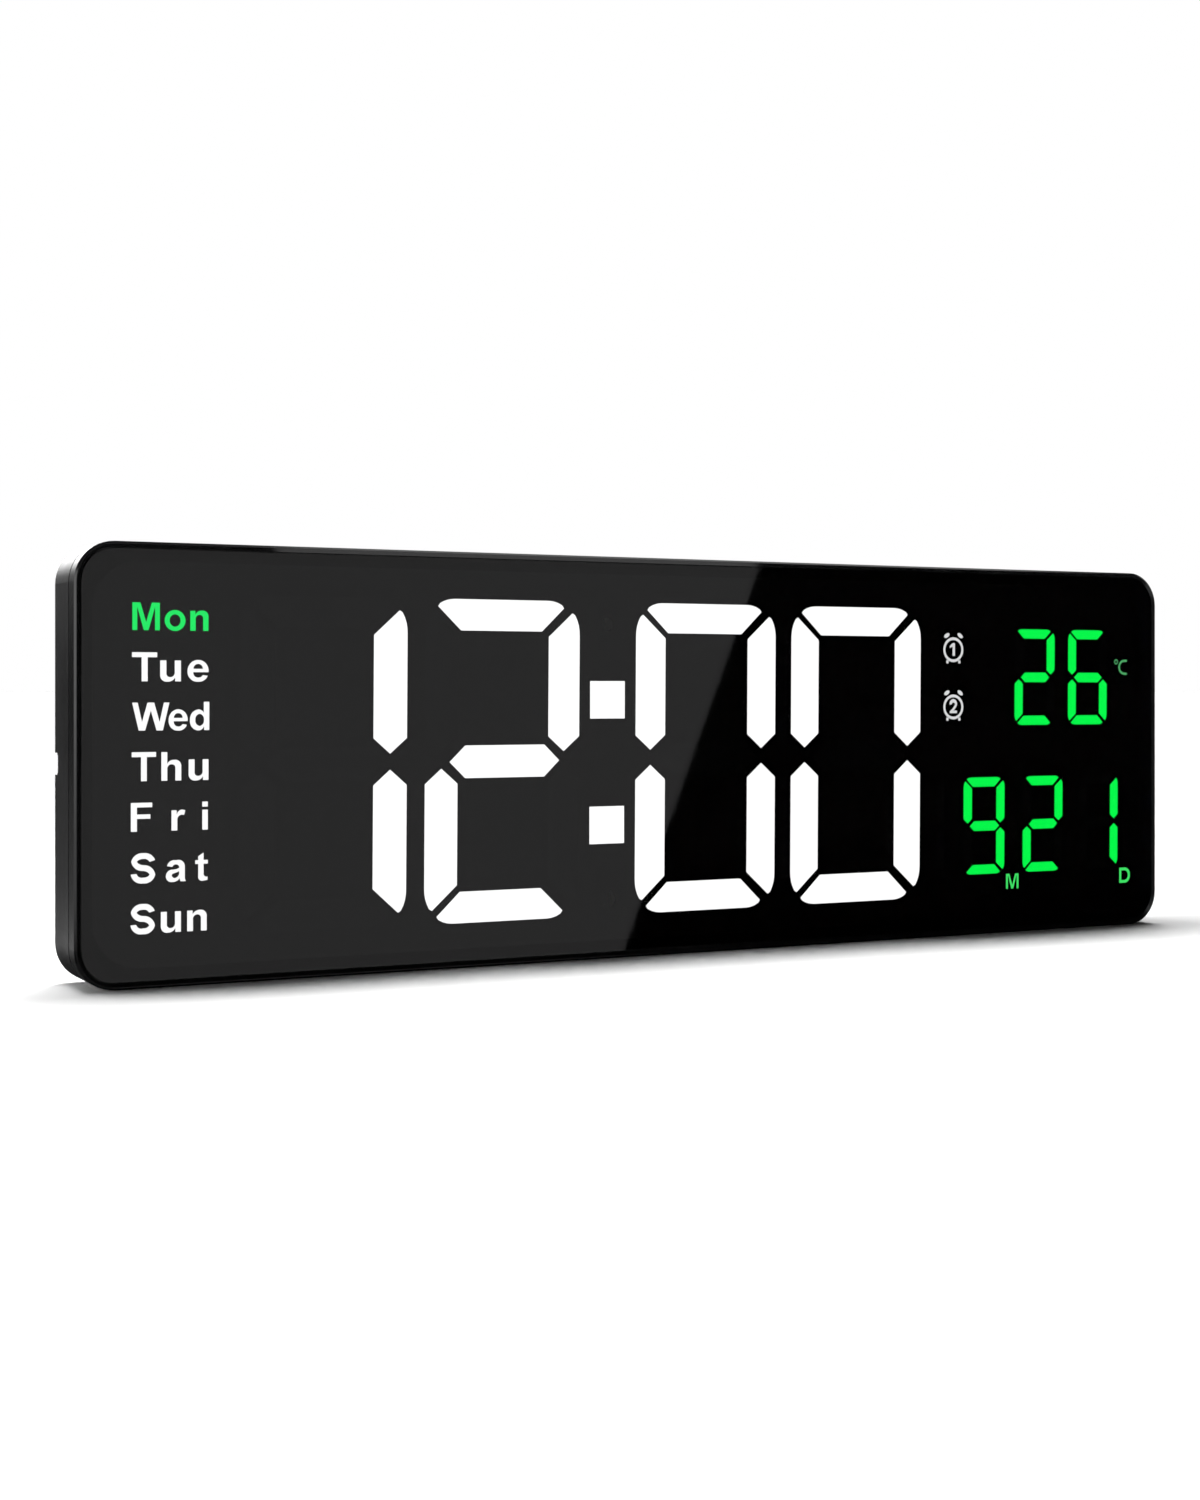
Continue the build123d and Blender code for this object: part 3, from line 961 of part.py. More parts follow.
# ---------------------------------------------------------------- setting buttons
BUTTON_TOP, BUTTON_FLANGE0, BUTTON_FLANGE1, BUTTON_TIP = DEPTH - 0.3, 21.3, 22.4, SWITCH_TOP - 0.3
with BuildPart() as set_button:
    with BuildSketch(at(BUTTON_TOP)):
        with Locations((BUTTON_X[0], BUTTON_Z)):
            Circle(BUTTON_R)
    extrude(amount=BUTTON_TOP - BUTTON_FLANGE0)
    fillet(set_button.faces().sort_by(Axis.Y)[-1].edges(), radius=0.5)
    with BuildSketch(at(BUTTON_FLANGE1)):
        with Locations((BUTTON_X[0], BUTTON_Z)):
            Circle(BUTTON_R + 1.1)
    extrude(amount=BUTTON_FLANGE1 - BUTTON_FLANGE0)
    with BuildSketch(at(BUTTON_FLANGE0)):
        with Locations((BUTTON_X[0], BUTTON_Z)):
            Circle(1.6)
    extrude(amount=BUTTON_FLANGE0 - BUTTON_TIP)
set_button.part.label = "set_button"
export_step(set_button.part, "parts/set_button.step")

with BuildPart() as up_button:
    add(set_button.part.moved(Location((BUTTON_X[1] - BUTTON_X[0], 0, 0))))
up_button.part.label = "up_button"
export_step(up_button.part, "parts/up_button.step")

with BuildPart() as down_button:
    add(set_button.part.moved(Location((BUTTON_X[2] - BUTTON_X[0], 0, 0))))
down_button.part.label = "down_button"
export_step(down_button.part, "parts/down_button.step")

with BuildPart() as alarm_button:
    add(set_button.part.moved(Location((BUTTON_X[3] - BUTTON_X[0], 0, 0))))
alarm_button.part.label = "alarm_button"
export_step(alarm_button.part, "parts/alarm_button.step")

# ---------------------------------------------------------------- fold-out legs
LEG_END = LEG_X - LEG_LENGTH
with BuildPart() as right_leg:
    with BuildSketch(Plane.XY.offset(3.0)):
        with Locations((LEG_X, LEG_D - FRONT)):
            Circle(2.75)
        with Locations(((LEG_X + LEG_END) / 2, LEG_D - FRONT)):
            Rectangle(LEG_LENGTH, LEG_T)
    extrude(amount=LEG_TOP - 3.0)
    with BuildSketch(Plane.XY.offset(0.3)):
        with Locations(((LEG_X - 6.2 + LEG_END) / 2, LEG_D - FRONT)):
            Rectangle(LEG_LENGTH - 6.2, LEG_T)
    extrude(amount=2.7)
    fillet(right_leg.edges().filter_by(Axis.Z).sort_by(Axis.X)[:2], radius=1.2)
    # finger groove and lightening pockets in the rear side
    with BuildSketch(at(LEG_D + LEG_T / 2)):
        with Locations((LEG_END + 6.0, 9.0)):
            SlotOverall(9.0, 3.0, rotation=90)
        with Locations((LEG_END + 21.0, 8.0), (LEG_END + 37.0, 8.0)):
            RectangleRounded(13.0, 9.0, 1.0)
    extrude(amount=2.0, mode=Mode.SUBTRACT)
    with BuildSketch(Plane.XY):
        with Locations((LEG_X, LEG_D - FRONT)):
            Circle(LEG_PIN_R + 0.05)
    extrude(amount=LEG_TOP + 1.0, mode=Mode.SUBTRACT)
right_leg.part.label = "right_leg"
export_step(right_leg.part, "parts/right_leg.step")

with BuildPart() as left_leg:
    add(right_leg.part.mirror(Plane.YZ))
left_leg.part.label = "left_leg"
export_step(left_leg.part, "parts/left_leg.step")

with BuildPart() as right_leg_pin:
    with BuildSketch(Plane.XY.offset(0.4)):
        with Locations((LEG_X, LEG_D - FRONT)):
            Circle(LEG_PIN_R)
    extrude(amount=17.4)
    chamfer(right_leg_pin.faces().filter_by(Axis.Z).edges(), length=0.2)
right_leg_pin.part.label = "right_leg_pin"
export_step(right_leg_pin.part, "parts/right_leg_pin.step")

with BuildPart() as left_leg_pin:
    add(right_leg_pin.part.mirror(Plane.YZ))
left_leg_pin.part.label = "left_leg_pin"
export_step(left_leg_pin.part, "parts/left_leg_pin.step")

# ---------------------------------------------------------------- screws with a cross recess
with BuildPart() as cover_screws:
    with BuildSketch(at(WELL_FLOOR + 1.8)):
        with Locations(*COVER_POSTS, *COVER_MID_POSTS):
            Circle(2.8)
    extrude(amount=1.8)
    fillet(cover_screws.faces().sort_by(Axis.Y)[-6:].edges(), radius=0.6)
    with BuildSketch(at(WELL_FLOOR)):
        with Locations(*COVER_POSTS, *COVER_MID_POSTS):
            Circle(COVER_SHANK_R)
    extrude(amount=WELL_FLOOR - 5.0)
    with BuildSketch(at(WELL_FLOOR + 1.8)):
        with Locations(*COVER_POSTS, *COVER_MID_POSTS):
            Rectangle(3.0, 0.7)
            Rectangle(0.7, 3.0)
    extrude(amount=1.0, mode=Mode.SUBTRACT)
cover_screws.part.label = "cover_screws"
export_step(cover_screws.part, "parts/cover_screws.step")

with BuildPart() as board_screws:
    with BuildSketch(at(BOARD_REAR + 1.4)):
        with Locations(*BOARD_POSTS):
            Circle(2.1)
    extrude(amount=1.4)
    fillet(board_screws.faces().sort_by(Axis.Y)[-4:].edges(), radius=0.5)
    with BuildSketch(at(BOARD_REAR)):
        with Locations(*BOARD_POSTS):
            Circle(BOARD_SHANK_R)
    extrude(amount=BOARD_REAR - 6.0)
    with BuildSketch(at(BOARD_REAR + 1.4)):
        with Locations(*BOARD_POSTS):
            Rectangle(2.4, 0.6)
            Rectangle(0.6, 2.4)
    extrude(amount=0.8, mode=Mode.SUBTRACT)
board_screws.part.label = "board_screws"
export_step(board_screws.part, "parts/board_screws.step")
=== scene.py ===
import bmesh
import bpy
import math
from mathutils import Matrix, Vector


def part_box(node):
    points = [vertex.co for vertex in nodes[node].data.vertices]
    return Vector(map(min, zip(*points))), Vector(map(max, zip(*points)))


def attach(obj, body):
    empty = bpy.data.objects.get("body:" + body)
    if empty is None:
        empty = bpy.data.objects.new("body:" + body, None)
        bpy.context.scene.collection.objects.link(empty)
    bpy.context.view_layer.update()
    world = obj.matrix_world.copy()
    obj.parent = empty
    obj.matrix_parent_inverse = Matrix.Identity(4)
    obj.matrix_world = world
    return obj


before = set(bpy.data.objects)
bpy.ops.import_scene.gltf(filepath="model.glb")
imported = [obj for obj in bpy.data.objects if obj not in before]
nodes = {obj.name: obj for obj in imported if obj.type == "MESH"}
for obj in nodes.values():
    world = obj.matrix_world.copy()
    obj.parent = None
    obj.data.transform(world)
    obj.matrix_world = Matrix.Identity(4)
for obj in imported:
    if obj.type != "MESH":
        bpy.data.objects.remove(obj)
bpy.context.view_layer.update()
scene = bpy.context.scene

MM = 0.001
FACE_Y = -12.5 * MM          # front edge of the rim
PANE_Y = FACE_Y + 0.35 * MM  # front of the pane
BACK_Y = 12.5 * MM

# ---------------------------------------------------------------- camera
IMAGE_W, IMAGE_H = 1200, 1500
YAW = math.radians(27.3078)
FOCAL_PX, HORIZON_PX = 2130.8, 688.78
EYE = Vector((-0.350300, -0.628470, 0.087850))

camera = bpy.data.objects.new("camera", bpy.data.cameras.new("camera"))
scene.collection.objects.link(camera)
scene.camera = camera
camera.data.sensor_width = 36.0
camera.data.lens = 36.0 * FOCAL_PX / IMAGE_H
camera.data.shift_y = (HORIZON_PX - IMAGE_H / 2) / IMAGE_H
camera.data.clip_start, camera.data.clip_end = 0.01, 200.0
side = Vector((math.cos(YAW), -math.sin(YAW), 0))
ahead = Vector((math.sin(YAW), math.cos(YAW), 0))
camera.matrix_world = Matrix((
    (side.x, 0, -ahead.x, EYE.x),
    (side.y, 0, -ahead.y, EYE.y),
    (side.z, 1, -ahead.z, EYE.z),
    (0, 0, 0, 1)))


# ---------------------------------------------------------------- materials
class Finish:
    """A Principled material with a few short-hands for its nodes. Lengths are in metres on the object."""

    def __init__(self, name, **sockets):
        self.material = bpy.data.materials.new(name)
        self.material.use_nodes = True
        self.tree = self.material.node_tree
        self.shader = next(n for n in self.tree.nodes if n.type == "BSDF_PRINCIPLED")
        for key, value in sockets.items():
            self.set(key.replace("_", " "), value)
        self.where = self.tree.nodes.new("ShaderNodeTexCoord").outputs["Object"]

    def set(self, socket, value):
        names = {"Base": "Base Color", "Emission": "Emission Color", "Strength": "Emission Strength",
                 "Specular": "Specular IOR Level"}
        target = self.shader.inputs[names.get(socket, socket)]
        if hasattr(value, "is_linked"):
            self.tree.links.new(value, target)
        elif target.type == "RGBA":
            target.default_value = (*value, 1.0)
        else:
            target.default_value = value

    def stretched(self, x, y, z):
        node = self.tree.nodes.new("ShaderNodeMapping")
        node.inputs["Scale"].default_value = (x, y, z)
        self.tree.links.new(self.where, node.inputs["Vector"])
        return node.outputs["Vector"]

    def noise(self, size, detail=2.0, rough=0.5, vector=None):
        node = self.tree.nodes.new("ShaderNodeTexNoise")
        node.inputs["Scale"].default_value = 1.0 / size
        node.inputs["Detail"].default_value = detail
        node.inputs["Roughness"].default_value = rough
        self.tree.links.new(vector or self.where, node.inputs["Vector"])
        return node.outputs["Fac"]

    def cells(self, size, feature="F1", output="Distance", vector=None):
        node = self.tree.nodes.new("ShaderNodeTexVoronoi")
        node.feature = feature
        node.inputs["Scale"].default_value = 1.0 / size
        self.tree.links.new(vector or self.where, node.inputs["Vector"])
        return node.outputs[output]

    def rings(self, size, vector=None, axis="Y"):
        node = self.tree.nodes.new("ShaderNodeTexWave")
        node.wave_type = "BANDS"
        node.bands_direction = axis
        node.inputs["Scale"].default_value = 1.0 / size
        node.inputs["Distortion"].default_value = 1.5
        self.tree.links.new(vector or self.where, node.inputs["Vector"])
        return node.outputs["Fac"]

    def span(self, value, low, high, start=0.3, end=0.7):
        node = self.tree.nodes.new("ShaderNodeMapRange")
        node.inputs["From Min"].default_value = start
        node.inputs["From Max"].default_value = end
        node.inputs["To Min"].default_value = low
        node.inputs["To Max"].default_value = high
        self.tree.links.new(value, node.inputs["Value"])
        return node.outputs["Result"]

    def tone(self, value, *stops):
        node = self.tree.nodes.new("ShaderNodeValToRGB")
        ramp = node.color_ramp.elements
        while len(ramp) < len(stops):
            ramp.new(0.5)
        for element, (place, colour) in zip(ramp, stops):
            element.position = place
            element.color = (*colour, 1.0)
        self.tree.links.new(value, node.inputs["Fac"])
        return node.outputs["Color"]

    def bump(self, height, depth, strength=1.0, under=None):
        node = self.tree.nodes.new("ShaderNodeBump")
        node.inputs["Strength"].default_value = strength
        node.inputs["Distance"].default_value = depth
        self.tree.links.new(height, node.inputs["Height"])
        if under is not None:
            self.tree.links.new(under, node.inputs["Normal"])
        return node.outputs["Normal"]


def grey(v, tint=0.0):
    return (v, v, v * (1.0 + tint))


def polished_black():
    f = Finish("frame_black", IOR=1.5)
    blotch = f.noise(18 * MM, 3.0)
    f.set("Base", f.tone(blotch, (0.35, grey(0.0035, 0.05)), (0.65, grey(0.0055, 0.08))))
    f.set("Roughness", f.span(f.noise(5 * MM, 4.0), 0.13, 0.21))
    f.set("Normal", f.bump(f.noise(1.6 * MM, 1.0), 0.004 * MM))
    return f.material


def satin_black(name="housing_black", base=(0.0075, 0.0115), rough=(0.30, 0.40), depth=0.022):
    f = Finish(name, IOR=1.5)
    blotch = f.noise(22 * MM, 4.0)
    f.set("Base", f.tone(blotch, (0.3, grey(base[0], 0.05)), (0.7, grey(base[1], 0.06))))
    spark = f.noise(0.42 * MM, 3.0, 0.6)
    f.set("Roughness", f.span(f.noise(9 * MM, 3.0), *rough))
    f.set("Normal", f.bump(spark, depth * MM, 0.6))
    return f.material


def smoked_pane():
    f = Finish("smoked_pane", Base=grey(0.0015), IOR=1.49, Alpha=0.60)
    f.set("Roughness", f.span(f.noise(26 * MM, 5.0, 0.6), 0.015, 0.035))
    return f.material


def lit(name, base, emission, strength):
    f = Finish(name, Roughness=0.5, Emission=emission, Strength=strength)
    milk = f.noise(2.5 * MM, 3.0)
    f.set("Base", f.tone(milk, (0.35, tuple(0.92 * c for c in base)), (0.65, base)))
    f.set("Normal", f.bump(f.noise(0.25 * MM, 2.0), 0.01 * MM, 0.5))
    return f.material


def matt(name, dark, light, size=3 * MM, rough=(0.55, 0.75), grain=0.3 * MM, depth=0.01, **sockets):
    f = Finish(name, **sockets)
    f.set("Base", f.tone(f.noise(size, 4.0), (0.3, dark), (0.7, light)))
    f.set("Roughness", f.span(f.noise(size * 0.6, 3.0), *rough))
    f.set("Normal", f.bump(f.noise(grain, 2.0), depth * MM, 0.6))
    return f.material


def circuit_board():
    f = Finish("board_green", IOR=1.5)
    tracks = f.cells(2.6 * MM, "DISTANCE_TO_EDGE", "Distance", f.stretched(1.0, 0.2, 1.0))
    f.set("Base", f.tone(tracks, (0.05, (0.035, 0.21, 0.10)), (0.09, (0.012, 0.11, 0.055))))
    f.set("Roughness", f.span(f.noise(6 * MM, 3.0), 0.28, 0.42))
    f.set("Normal", f.bump(f.span(tracks, 1.0, 0.0, 0.04, 0.10), 0.03 * MM, 0.8))
    return f.material


def metal(name, dark, light, rough=(0.22, 0.38), brush=(1.0, 1.0, 1.0), grain=0.35 * MM):
    f = Finish(name, Metallic=1.0)
    lines = f.noise(grain, 3.0, 0.6, f.stretched(*brush))
    f.set("Base", f.tone(f.noise(3 * MM, 3.0), (0.3, dark), (0.7, light)))
    f.set("Roughness", f.span(lines, *rough))
    f.set("Normal", f.bump(lines, 0.006 * MM, 0.5))
    return f.material


def moulded(name, dark, light, rough, grain, depth, ior=1.5):
    f = Finish(name, IOR=ior)
    f.set("Base", f.tone(f.noise(4 * MM, 4.0), (0.3, dark), (0.7, light)))
    f.set("Roughness", f.span(f.noise(2.5 * MM, 3.0), *rough))
    f.set("Normal", f.bump(f.noise(grain, 2.0), depth * MM, 0.6))
    return f.material


finishes = {
    polished_black(): ["front_frame"],
    satin_black(): ["rear_housing", "left_leg", "right_leg", "battery_cap"],
    smoked_pane(): ["front_lens"],
    matt("tape_black", grey(0.0012), grey(0.0020), 26 * MM, (0.015, 0.035), 2 * MM, 0.0005, Specular=0.3): ["lens_tape"],
    matt("film_black", grey(0.0004), grey(0.0008), rough=(0.7, 0.85), Specular=0.0): ["mask_film"],
    matt("reflector_white", grey(0.70, -0.02), grey(0.80, -0.02)): ["reflector"],
    lit("white_light", (0.90, 0.92, 0.95), (1.0, 1.0, 1.0), 6.6):
        ["hour_diffusers", "minute_diffusers", "colon_diffusers"],
    lit("day_light", (0.90, 0.92, 0.95), (1.0, 1.0, 1.0), 6.0): ["weekday_diffusers"],
    lit("mark_light", (0.75, 0.76, 0.78), (0.98, 0.99, 1.0), 4.2): ["alarm_diffusers"],
    lit("green_light", (0.05, 0.75, 0.25), (0.001, 1.0, 0.070), 5.6): ["temperature_diffusers", "date_diffusers"],
    lit("green_day_light", (0.05, 0.75, 0.25), (0.001, 1.0, 0.145), 4.9): ["active_day_diffuser"],
    lit("green_mark_light", (0.12, 0.60, 0.25), (0.065, 1.0, 0.175), 4.4): ["date_letter_diffusers"],
    lit("green_unit_light", (0.12, 0.60, 0.25), (0.20, 1.0, 0.34), 2.1): ["degree_diffuser"],
    # painted shade: the unlit segment diffusers are coloured near-black for the dark of their unlit cavities behind the
    # smoked pane, while the lit diffusers are milky white
    matt("unlit_diffuser", grey(0.0012), grey(0.0020), rough=(0.7, 0.85)): ["unlit_diffusers"],
    circuit_board(): ["display_board"],
    matt("lamp_body", (0.78, 0.76, 0.62), (0.86, 0.84, 0.72)): ["white_leds", "green_leds"],
    matt("chip_black", grey(0.014), grey(0.024), rough=(0.45, 0.6)):
        ["controller_chip", "driver_chips", "voltage_regulator", "buzzer", "tact_switches"],
    metal("can_metal", grey(0.66), grey(0.76)): ["quartz_crystal", "capacitors"],
    moulded("sensor_dark", (0.0030, 0.0014, 0.0016), (0.0048, 0.0022, 0.0026), (0.35, 0.50), 1 * MM, 0.004):
        ["ir_receiver", "light_sensor"],
    moulded("sensor_amber", (0.38, 0.22, 0.05), (0.50, 0.31, 0.09), (0.15, 0.30), 1 * MM, 0.004):
        ["temperature_sensor"],
    metal("steel", grey(0.54, 0.02), grey(0.66, 0.02), (0.25, 0.42)):
        ["cover_screws", "board_screws", "left_leg_pin", "right_leg_pin"],
    metal("cell_steel", grey(0.68), grey(0.77), (0.18, 0.30), (1.0, 0.2, 1.0)): ["coin_cell"],
    metal("contact_metal", (0.70, 0.57, 0.31), (0.82, 0.70, 0.42), (0.20, 0.34)):
        ["cell_contact_negative", "cell_contact_positive"],
    moulded("jack_black", grey(0.010), grey(0.016), (0.35, 0.5), 0.4 * MM, 0.012): ["dc_jack"],
    moulded("button_grey", grey(0.045, 0.05), grey(0.060, 0.05), (0.38, 0.50), 0.35 * MM, 0.014):
        ["set_button", "up_button", "down_button", "alarm_button"],
}
for material, names in finishes.items():
    for name in names:
        nodes[name].data.materials.clear()
        nodes[name].data.materials.append(material)
for name in ("temperature_diffusers", "date_diffusers", "date_letter_diffusers", "degree_diffuser", "active_day_diffuser"):
    nodes[name].visible_diffuse = False

# ---------------------------------------------------------------- legends printed on the back
INK = 0.05 * MM
ink = matt("legend_ink", grey(0.24, 0.02), grey(0.34, 0.02), 0.7 * MM, (0.5, 0.65), 0.12 * MM, 0.004)


def printed(name, mesh, x, z):
    """Thin layer of ink on the back round (x, z), drawn as it reads in the mesh's own x and y."""
    work = bmesh.new()
    work.from_mesh(mesh)
    bmesh.ops.remove_doubles(work, verts=work.verts, dist=1e-7)
    bmesh.ops.transform(work, verts=work.verts,
                        matrix=Matrix(((-1, 0, 0, x), (0, 0, 1, BACK_Y), (0, 1, 0, z), (0, 0, 0, 1))))
    bmesh.ops.recalc_face_normals(work, faces=work.faces)
    work.to_mesh(mesh)
    work.free()
    mesh.materials.clear()
    mesh.materials.append(ink)
    piece = bpy.data.objects.new(name, mesh)
    scene.collection.objects.link(piece)
    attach(piece, "case")


def word(text, x, z, height=2.3 * MM):
    drawn = bpy.data.curves.new(text, "FONT")
    drawn.body, drawn.size, drawn.extrude = text, height / 0.70, INK / 2
    drawn.align_x, drawn.align_y = "CENTER", "CENTER"
    thing = bpy.data.objects.new(text, drawn)
    mesh = bpy.data.meshes.new_from_object(thing)
    bpy.data.objects.remove(thing)
    printed("legend_" + text.lower(), mesh, x, z)


def turn_arrow(name, x, z, radius, start, end, width=0.45 * MM):
    """Arc with a head at its end, round (x, z); angles in degrees, as read."""
    def point(r, a):
        return r * math.cos(math.radians(a)), r * math.sin(math.radians(a))
    steps = [start + (end - start) * i / 16 for i in range(17)]
    head = 1.1 * MM
    outline = [point(radius + width / 2, a) for a in steps] + [point(radius + head, end)]
    outline += [point(radius, end + math.degrees(2.0 * MM / radius)), point(radius - head, end)]
    outline += [point(radius - width / 2, a) for a in reversed(steps)]
    n = len(outline)
    mesh = bpy.data.meshes.new(name)
    mesh.from_pydata([(a, b, s) for s in (-INK / 2, INK / 2) for a, b in outline], [],
                     [tuple(range(n, 2 * n)), tuple(range(n - 1, -1, -1))]
                     + [(i, (i + 1) % n, n + (i + 1) % n, n + i) for i in range(n)])
    printed(name, mesh, x, z)


for text in ("SET", "UP", "DOWN", "ALARM"):
    low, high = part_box(text.lower() + "_button")
    word(text, (low[0] + high[0]) / 2, (low[2] + high[2]) / 2 - 7.2 * MM)
low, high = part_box("battery_cap")
cap_x, cap_z = (low[0] + high[0]) / 2, (low[2] + high[2]) / 2
word("OPEN", cap_x, cap_z + 20.5 * MM)
turn_arrow("legend_turn", cap_x, cap_z, 17.0 * MM, 68, 106)

# ---------------------------------------------------------------- stage
def plane(name, corners, material):
    mesh = bpy.data.meshes.new(name)
    mesh.from_pydata(corners, [], [(0, 1, 2, 3)])
    mesh.materials.append(material)
    thing = bpy.data.objects.new(name, mesh)
    scene.collection.objects.link(thing)
    return thing


paper = Finish("floor_paper", Base=(0.92, 0.92, 0.92), Roughness=0.9, Specular=0.0).material
FLOOR_Z = -0.0002
floor_front = plane("floor_front", [(-40, -40, FLOOR_Z), (40, -40, FLOOR_Z), (40, -0.02, FLOOR_Z), (-40, -0.02, FLOOR_Z)], paper)
floor_rear = plane("floor_rear", [(-40, -0.02, FLOOR_Z), (40, -0.02, FLOOR_Z), (40, 60, FLOOR_Z), (-40, 60, FLOOR_Z)], paper)
floor_front.visible_glossy = floor_rear.visible_glossy = False

# grey card that the left part of the pane mirrors; its right edge leans
CARD_Y = -1.5
mirrored_eye = Vector((EYE.x, 2 * PANE_Y - EYE.y, EYE.z))


def mirrored(x, z):
    """Where the line of sight that meets the pane at (x, z) reaches the card's plane."""
    p = Vector((x, PANE_Y, z))
    way = p - mirrored_eye
    return p + way * ((CARD_Y - PANE_Y) / way.y)


edge_low, edge_high = mirrored(-0.08564, -0.15), mirrored(0.04143, 0.16)
card_light = Finish("card", Base=(0, 0, 0), Specular=0.0, Emission=(1, 1, 1), Strength=0.77).material
card = plane("card", [(0.10, CARD_Y, edge_low.z), edge_low, edge_high, (0.10, CARD_Y, edge_high.z)], card_light)

def graded(name, axis, reach, peak, *stops):
    """Card whose light changes along one axis, up to peak."""
    f = Finish(name, Base=(0, 0, 0), Specular=0.0, Strength=peak)
    split = f.tree.nodes.new("ShaderNodeSeparateXYZ")
    f.tree.links.new(f.where, split.inputs["Vector"])
    along = f.span(split.outputs[axis], 0.0, 1.0, 0.0, reach)
    f.set("Emission", f.tone(along, *[(place / reach, grey(level / peak)) for place, level in stops]))
    return f.material


def even(name, strength):
    return Finish(name, Base=(0, 0, 0), Specular=0.0, Emission=(1, 1, 1), Strength=strength).material


# the room as the left end and its rounded corner mirror it: floor, far wall, bright upper wall
near_floor = graded("near_floor", "Y", 1.5, 1.0, (0.0, 0.03), (0.03, 0.05), (0.09, 0.32), (0.16, 0.20), (0.285, 0.12),
                    (0.46, 0.10), (0.73, 0.08), (1.19, 0.07), (1.5, 0.06))
far_wall = graded("far_wall", "Z", 0.4, 1.0, (0.0, 0.05), (0.05, 0.03), (0.10, 0.035), (0.14, 0.05), (0.20, 0.12), (0.31, 0.30),
                  (0.40, 0.60))
upper_wall = graded("upper_wall", "Z", 1.0, 11.0, (0.40, 1.0), (0.50, 3.2), (0.60, 7.0), (0.72, 9.5), (0.82, 11.0), (1.0, 11.0))
cards = [
    card,
    plane("left_floor", [(-2.6, 0.0, 0.0), (-0.19, 0.0, 0.0), (-0.19, 1.5, 0.0), (-2.6, 1.5, 0.0)], near_floor),
    plane("left_wall", [(-2.0, 1.5, 0.0), (0.2, 1.5, 0.0), (0.2, 1.5, 0.4), (-2.0, 1.5, 0.4)], far_wall),
    plane("left_upper_wall", [(-0.9, 1.5, 0.4), (0.2, 1.5, 0.4), (0.2, 1.5, 1.0), (-0.9, 1.5, 1.0)], upper_wall),
    plane("end_floor", [(-0.50, 0.0, 0.0001), (-0.24, 0.0, 0.0001), (-0.24, 0.10, 0.0001), (-0.50, 0.10, 0.0001)], even("end_floor", 3.0)),
    plane("corner_floor", [(-1.6, -0.9, 0.0), (-0.25, -0.9, 0.0), (-0.25, -0.05, 0.0), (-1.6, -0.05, 0.0)], even("corner_floor", 1.0)),
    # strip above, mirrored by the bevel along the top
    plane("upper_strip", [(0.2, -0.3, 1.13), (0.97, -0.3, 1.13), (0.97, 0.4, 1.13), (0.2, 0.4, 1.13)], even("upper_strip", 1.7)),
    # soft light for the back, the right end and the top, out of the front's sight
    plane("back_floor", [(-0.19, 0.05, -0.0001), (1.4, 0.05, -0.0001), (1.4, 2.2, -0.0001), (-0.19, 2.2, -0.0001)], even("back_floor", 0.9)),
    plane("back_wall", [(0.2, 1.5, 0.30), (1.6, 1.5, 0.30), (1.6, 1.5, 1.3), (0.2, 1.5, 1.3)], even("back_wall", 1.0)),
    plane("right_wall", [(1.3, 0.1, 0.0), (1.3, 1.4, 0.0), (1.3, 1.4, 0.9), (1.3, 0.1, 0.9)], even("right_wall", 0.9)),
    plane("front_wall", [(-1.5, -1.5, 0.45), (1.5, -1.5, 0.45), (1.5, -1.5, 0.68), (-1.5, -1.5, 0.68)], even("front_wall", 0.9)),
]
# soft light in front, mirrored by the frame's inner slope along the top; other rays pass it
clear = even("rim_card", 1.1)
both, through = clear.node_tree.nodes.new("ShaderNodeAddShader"), clear.node_tree.nodes.new("ShaderNodeBsdfTransparent")
output = next(n for n in clear.node_tree.nodes if n.type == "OUTPUT_MATERIAL")
clear.node_tree.links.new(next(n for n in clear.node_tree.nodes if n.type == "BSDF_PRINCIPLED").outputs["BSDF"], both.inputs[0])
clear.node_tree.links.new(through.outputs["BSDF"], both.inputs[1])
clear.node_tree.links.new(both.outputs["Shader"], output.inputs["Surface"])
rim_card = plane("rim_card", [(-0.135, -0.034, 0.115), (0.04, -0.034, 0.115), (0.04, -0.016, 0.115), (-0.135, -0.016, 0.115)], clear)
rim_card.light_linking.receiver_collection = bpy.data.collections.new("rim_card_receivers")
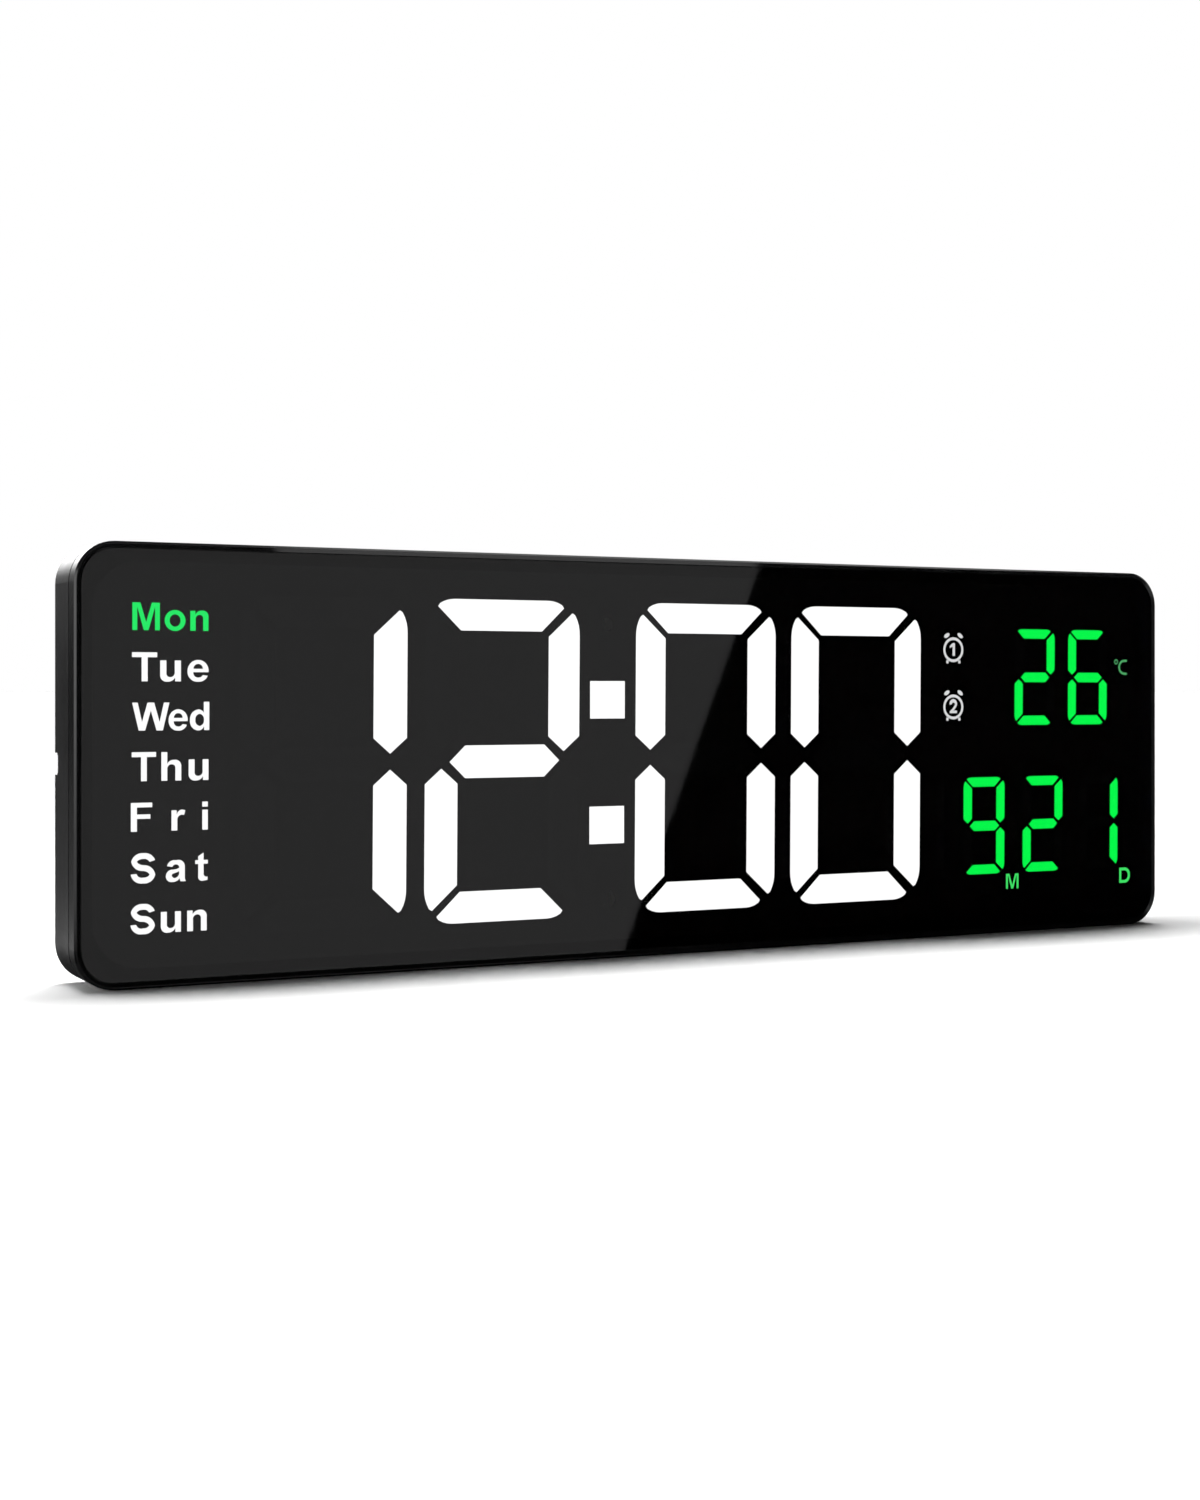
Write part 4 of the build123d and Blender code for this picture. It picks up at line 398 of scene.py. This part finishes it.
rim_card.light_linking.receiver_collection.objects.link(nodes["front_frame"])
cards.append(rim_card)
for thing in cards:
    thing.visible_camera = thing.visible_diffuse = thing.visible_shadow = thing.visible_transmission = False

sky = bpy.data.worlds.new("sky")
sky.use_nodes = True
background = next(n for n in sky.node_tree.nodes if n.type == "BACKGROUND")
background.inputs["Color"].default_value = (1, 1, 1, 1)
background.inputs["Strength"].default_value = 1.0
scene.world = sky
sky.cycles_visibility.diffuse = False
sky.cycles_visibility.glossy = False
scene.view_settings.view_transform = "Standard"


def lamp(name, kind, energy, position, target, **settings):
    data = bpy.data.lights.new(name, kind)
    data.energy = energy
    for key, value in settings.items():
        setattr(data, key, value)
    thing = bpy.data.objects.new(name, data)
    scene.collection.objects.link(thing)
    thing.location = position
    thing.rotation_mode = "QUATERNION"
    thing.rotation_quaternion = (Vector(target) - Vector(position)).to_track_quat("-Z", "Y")
    return thing


# wide overhead light, long in x
for name, tilt in (("key_left", -0.29), ("key", 0.0), ("key_right", 0.29)):
    lamp(name, "SUN", 1.22, (tilt, 0.23, 1.0), (0, 0, 0), angle=math.radians(22)).visible_glossy = False
lamp("left_top", "AREA", 1.4, (-0.14, 0.075, 0.50), (-0.14, -0.03, 0.0), shape="RECTANGLE", size=0.16, size_y=0.14).visible_glossy = False
lamp("left_rear", "AREA", 2.6, (-1.6, 0.30, 0.35), (-0.2, 0, 0.0), shape="RECTANGLE", size=0.7, size_y=0.5).visible_glossy = False
# small soft spot that lifts the floor's shadow under the lower left corner
lift = lamp("corner_lift", "SPOT", 5.0, (-0.50, 0.004, 0.20), (-0.1995, 0.004, 0.0), spot_size=math.radians(3.4), spot_blend=1.0, shadow_soft_size=0.015)
lift.visible_glossy = False
lift.light_linking.receiver_collection = bpy.data.collections.new("corner_lift_receivers")
for thing in (floor_front, floor_rear):
    lift.light_linking.receiver_collection.objects.link(thing)
left = lamp("left_box", "AREA", 3.9, (-1.6, -0.45, 0.35), (-0.2, 0, 0.07), shape="RECTANGLE", size=0.7, size_y=0.7)
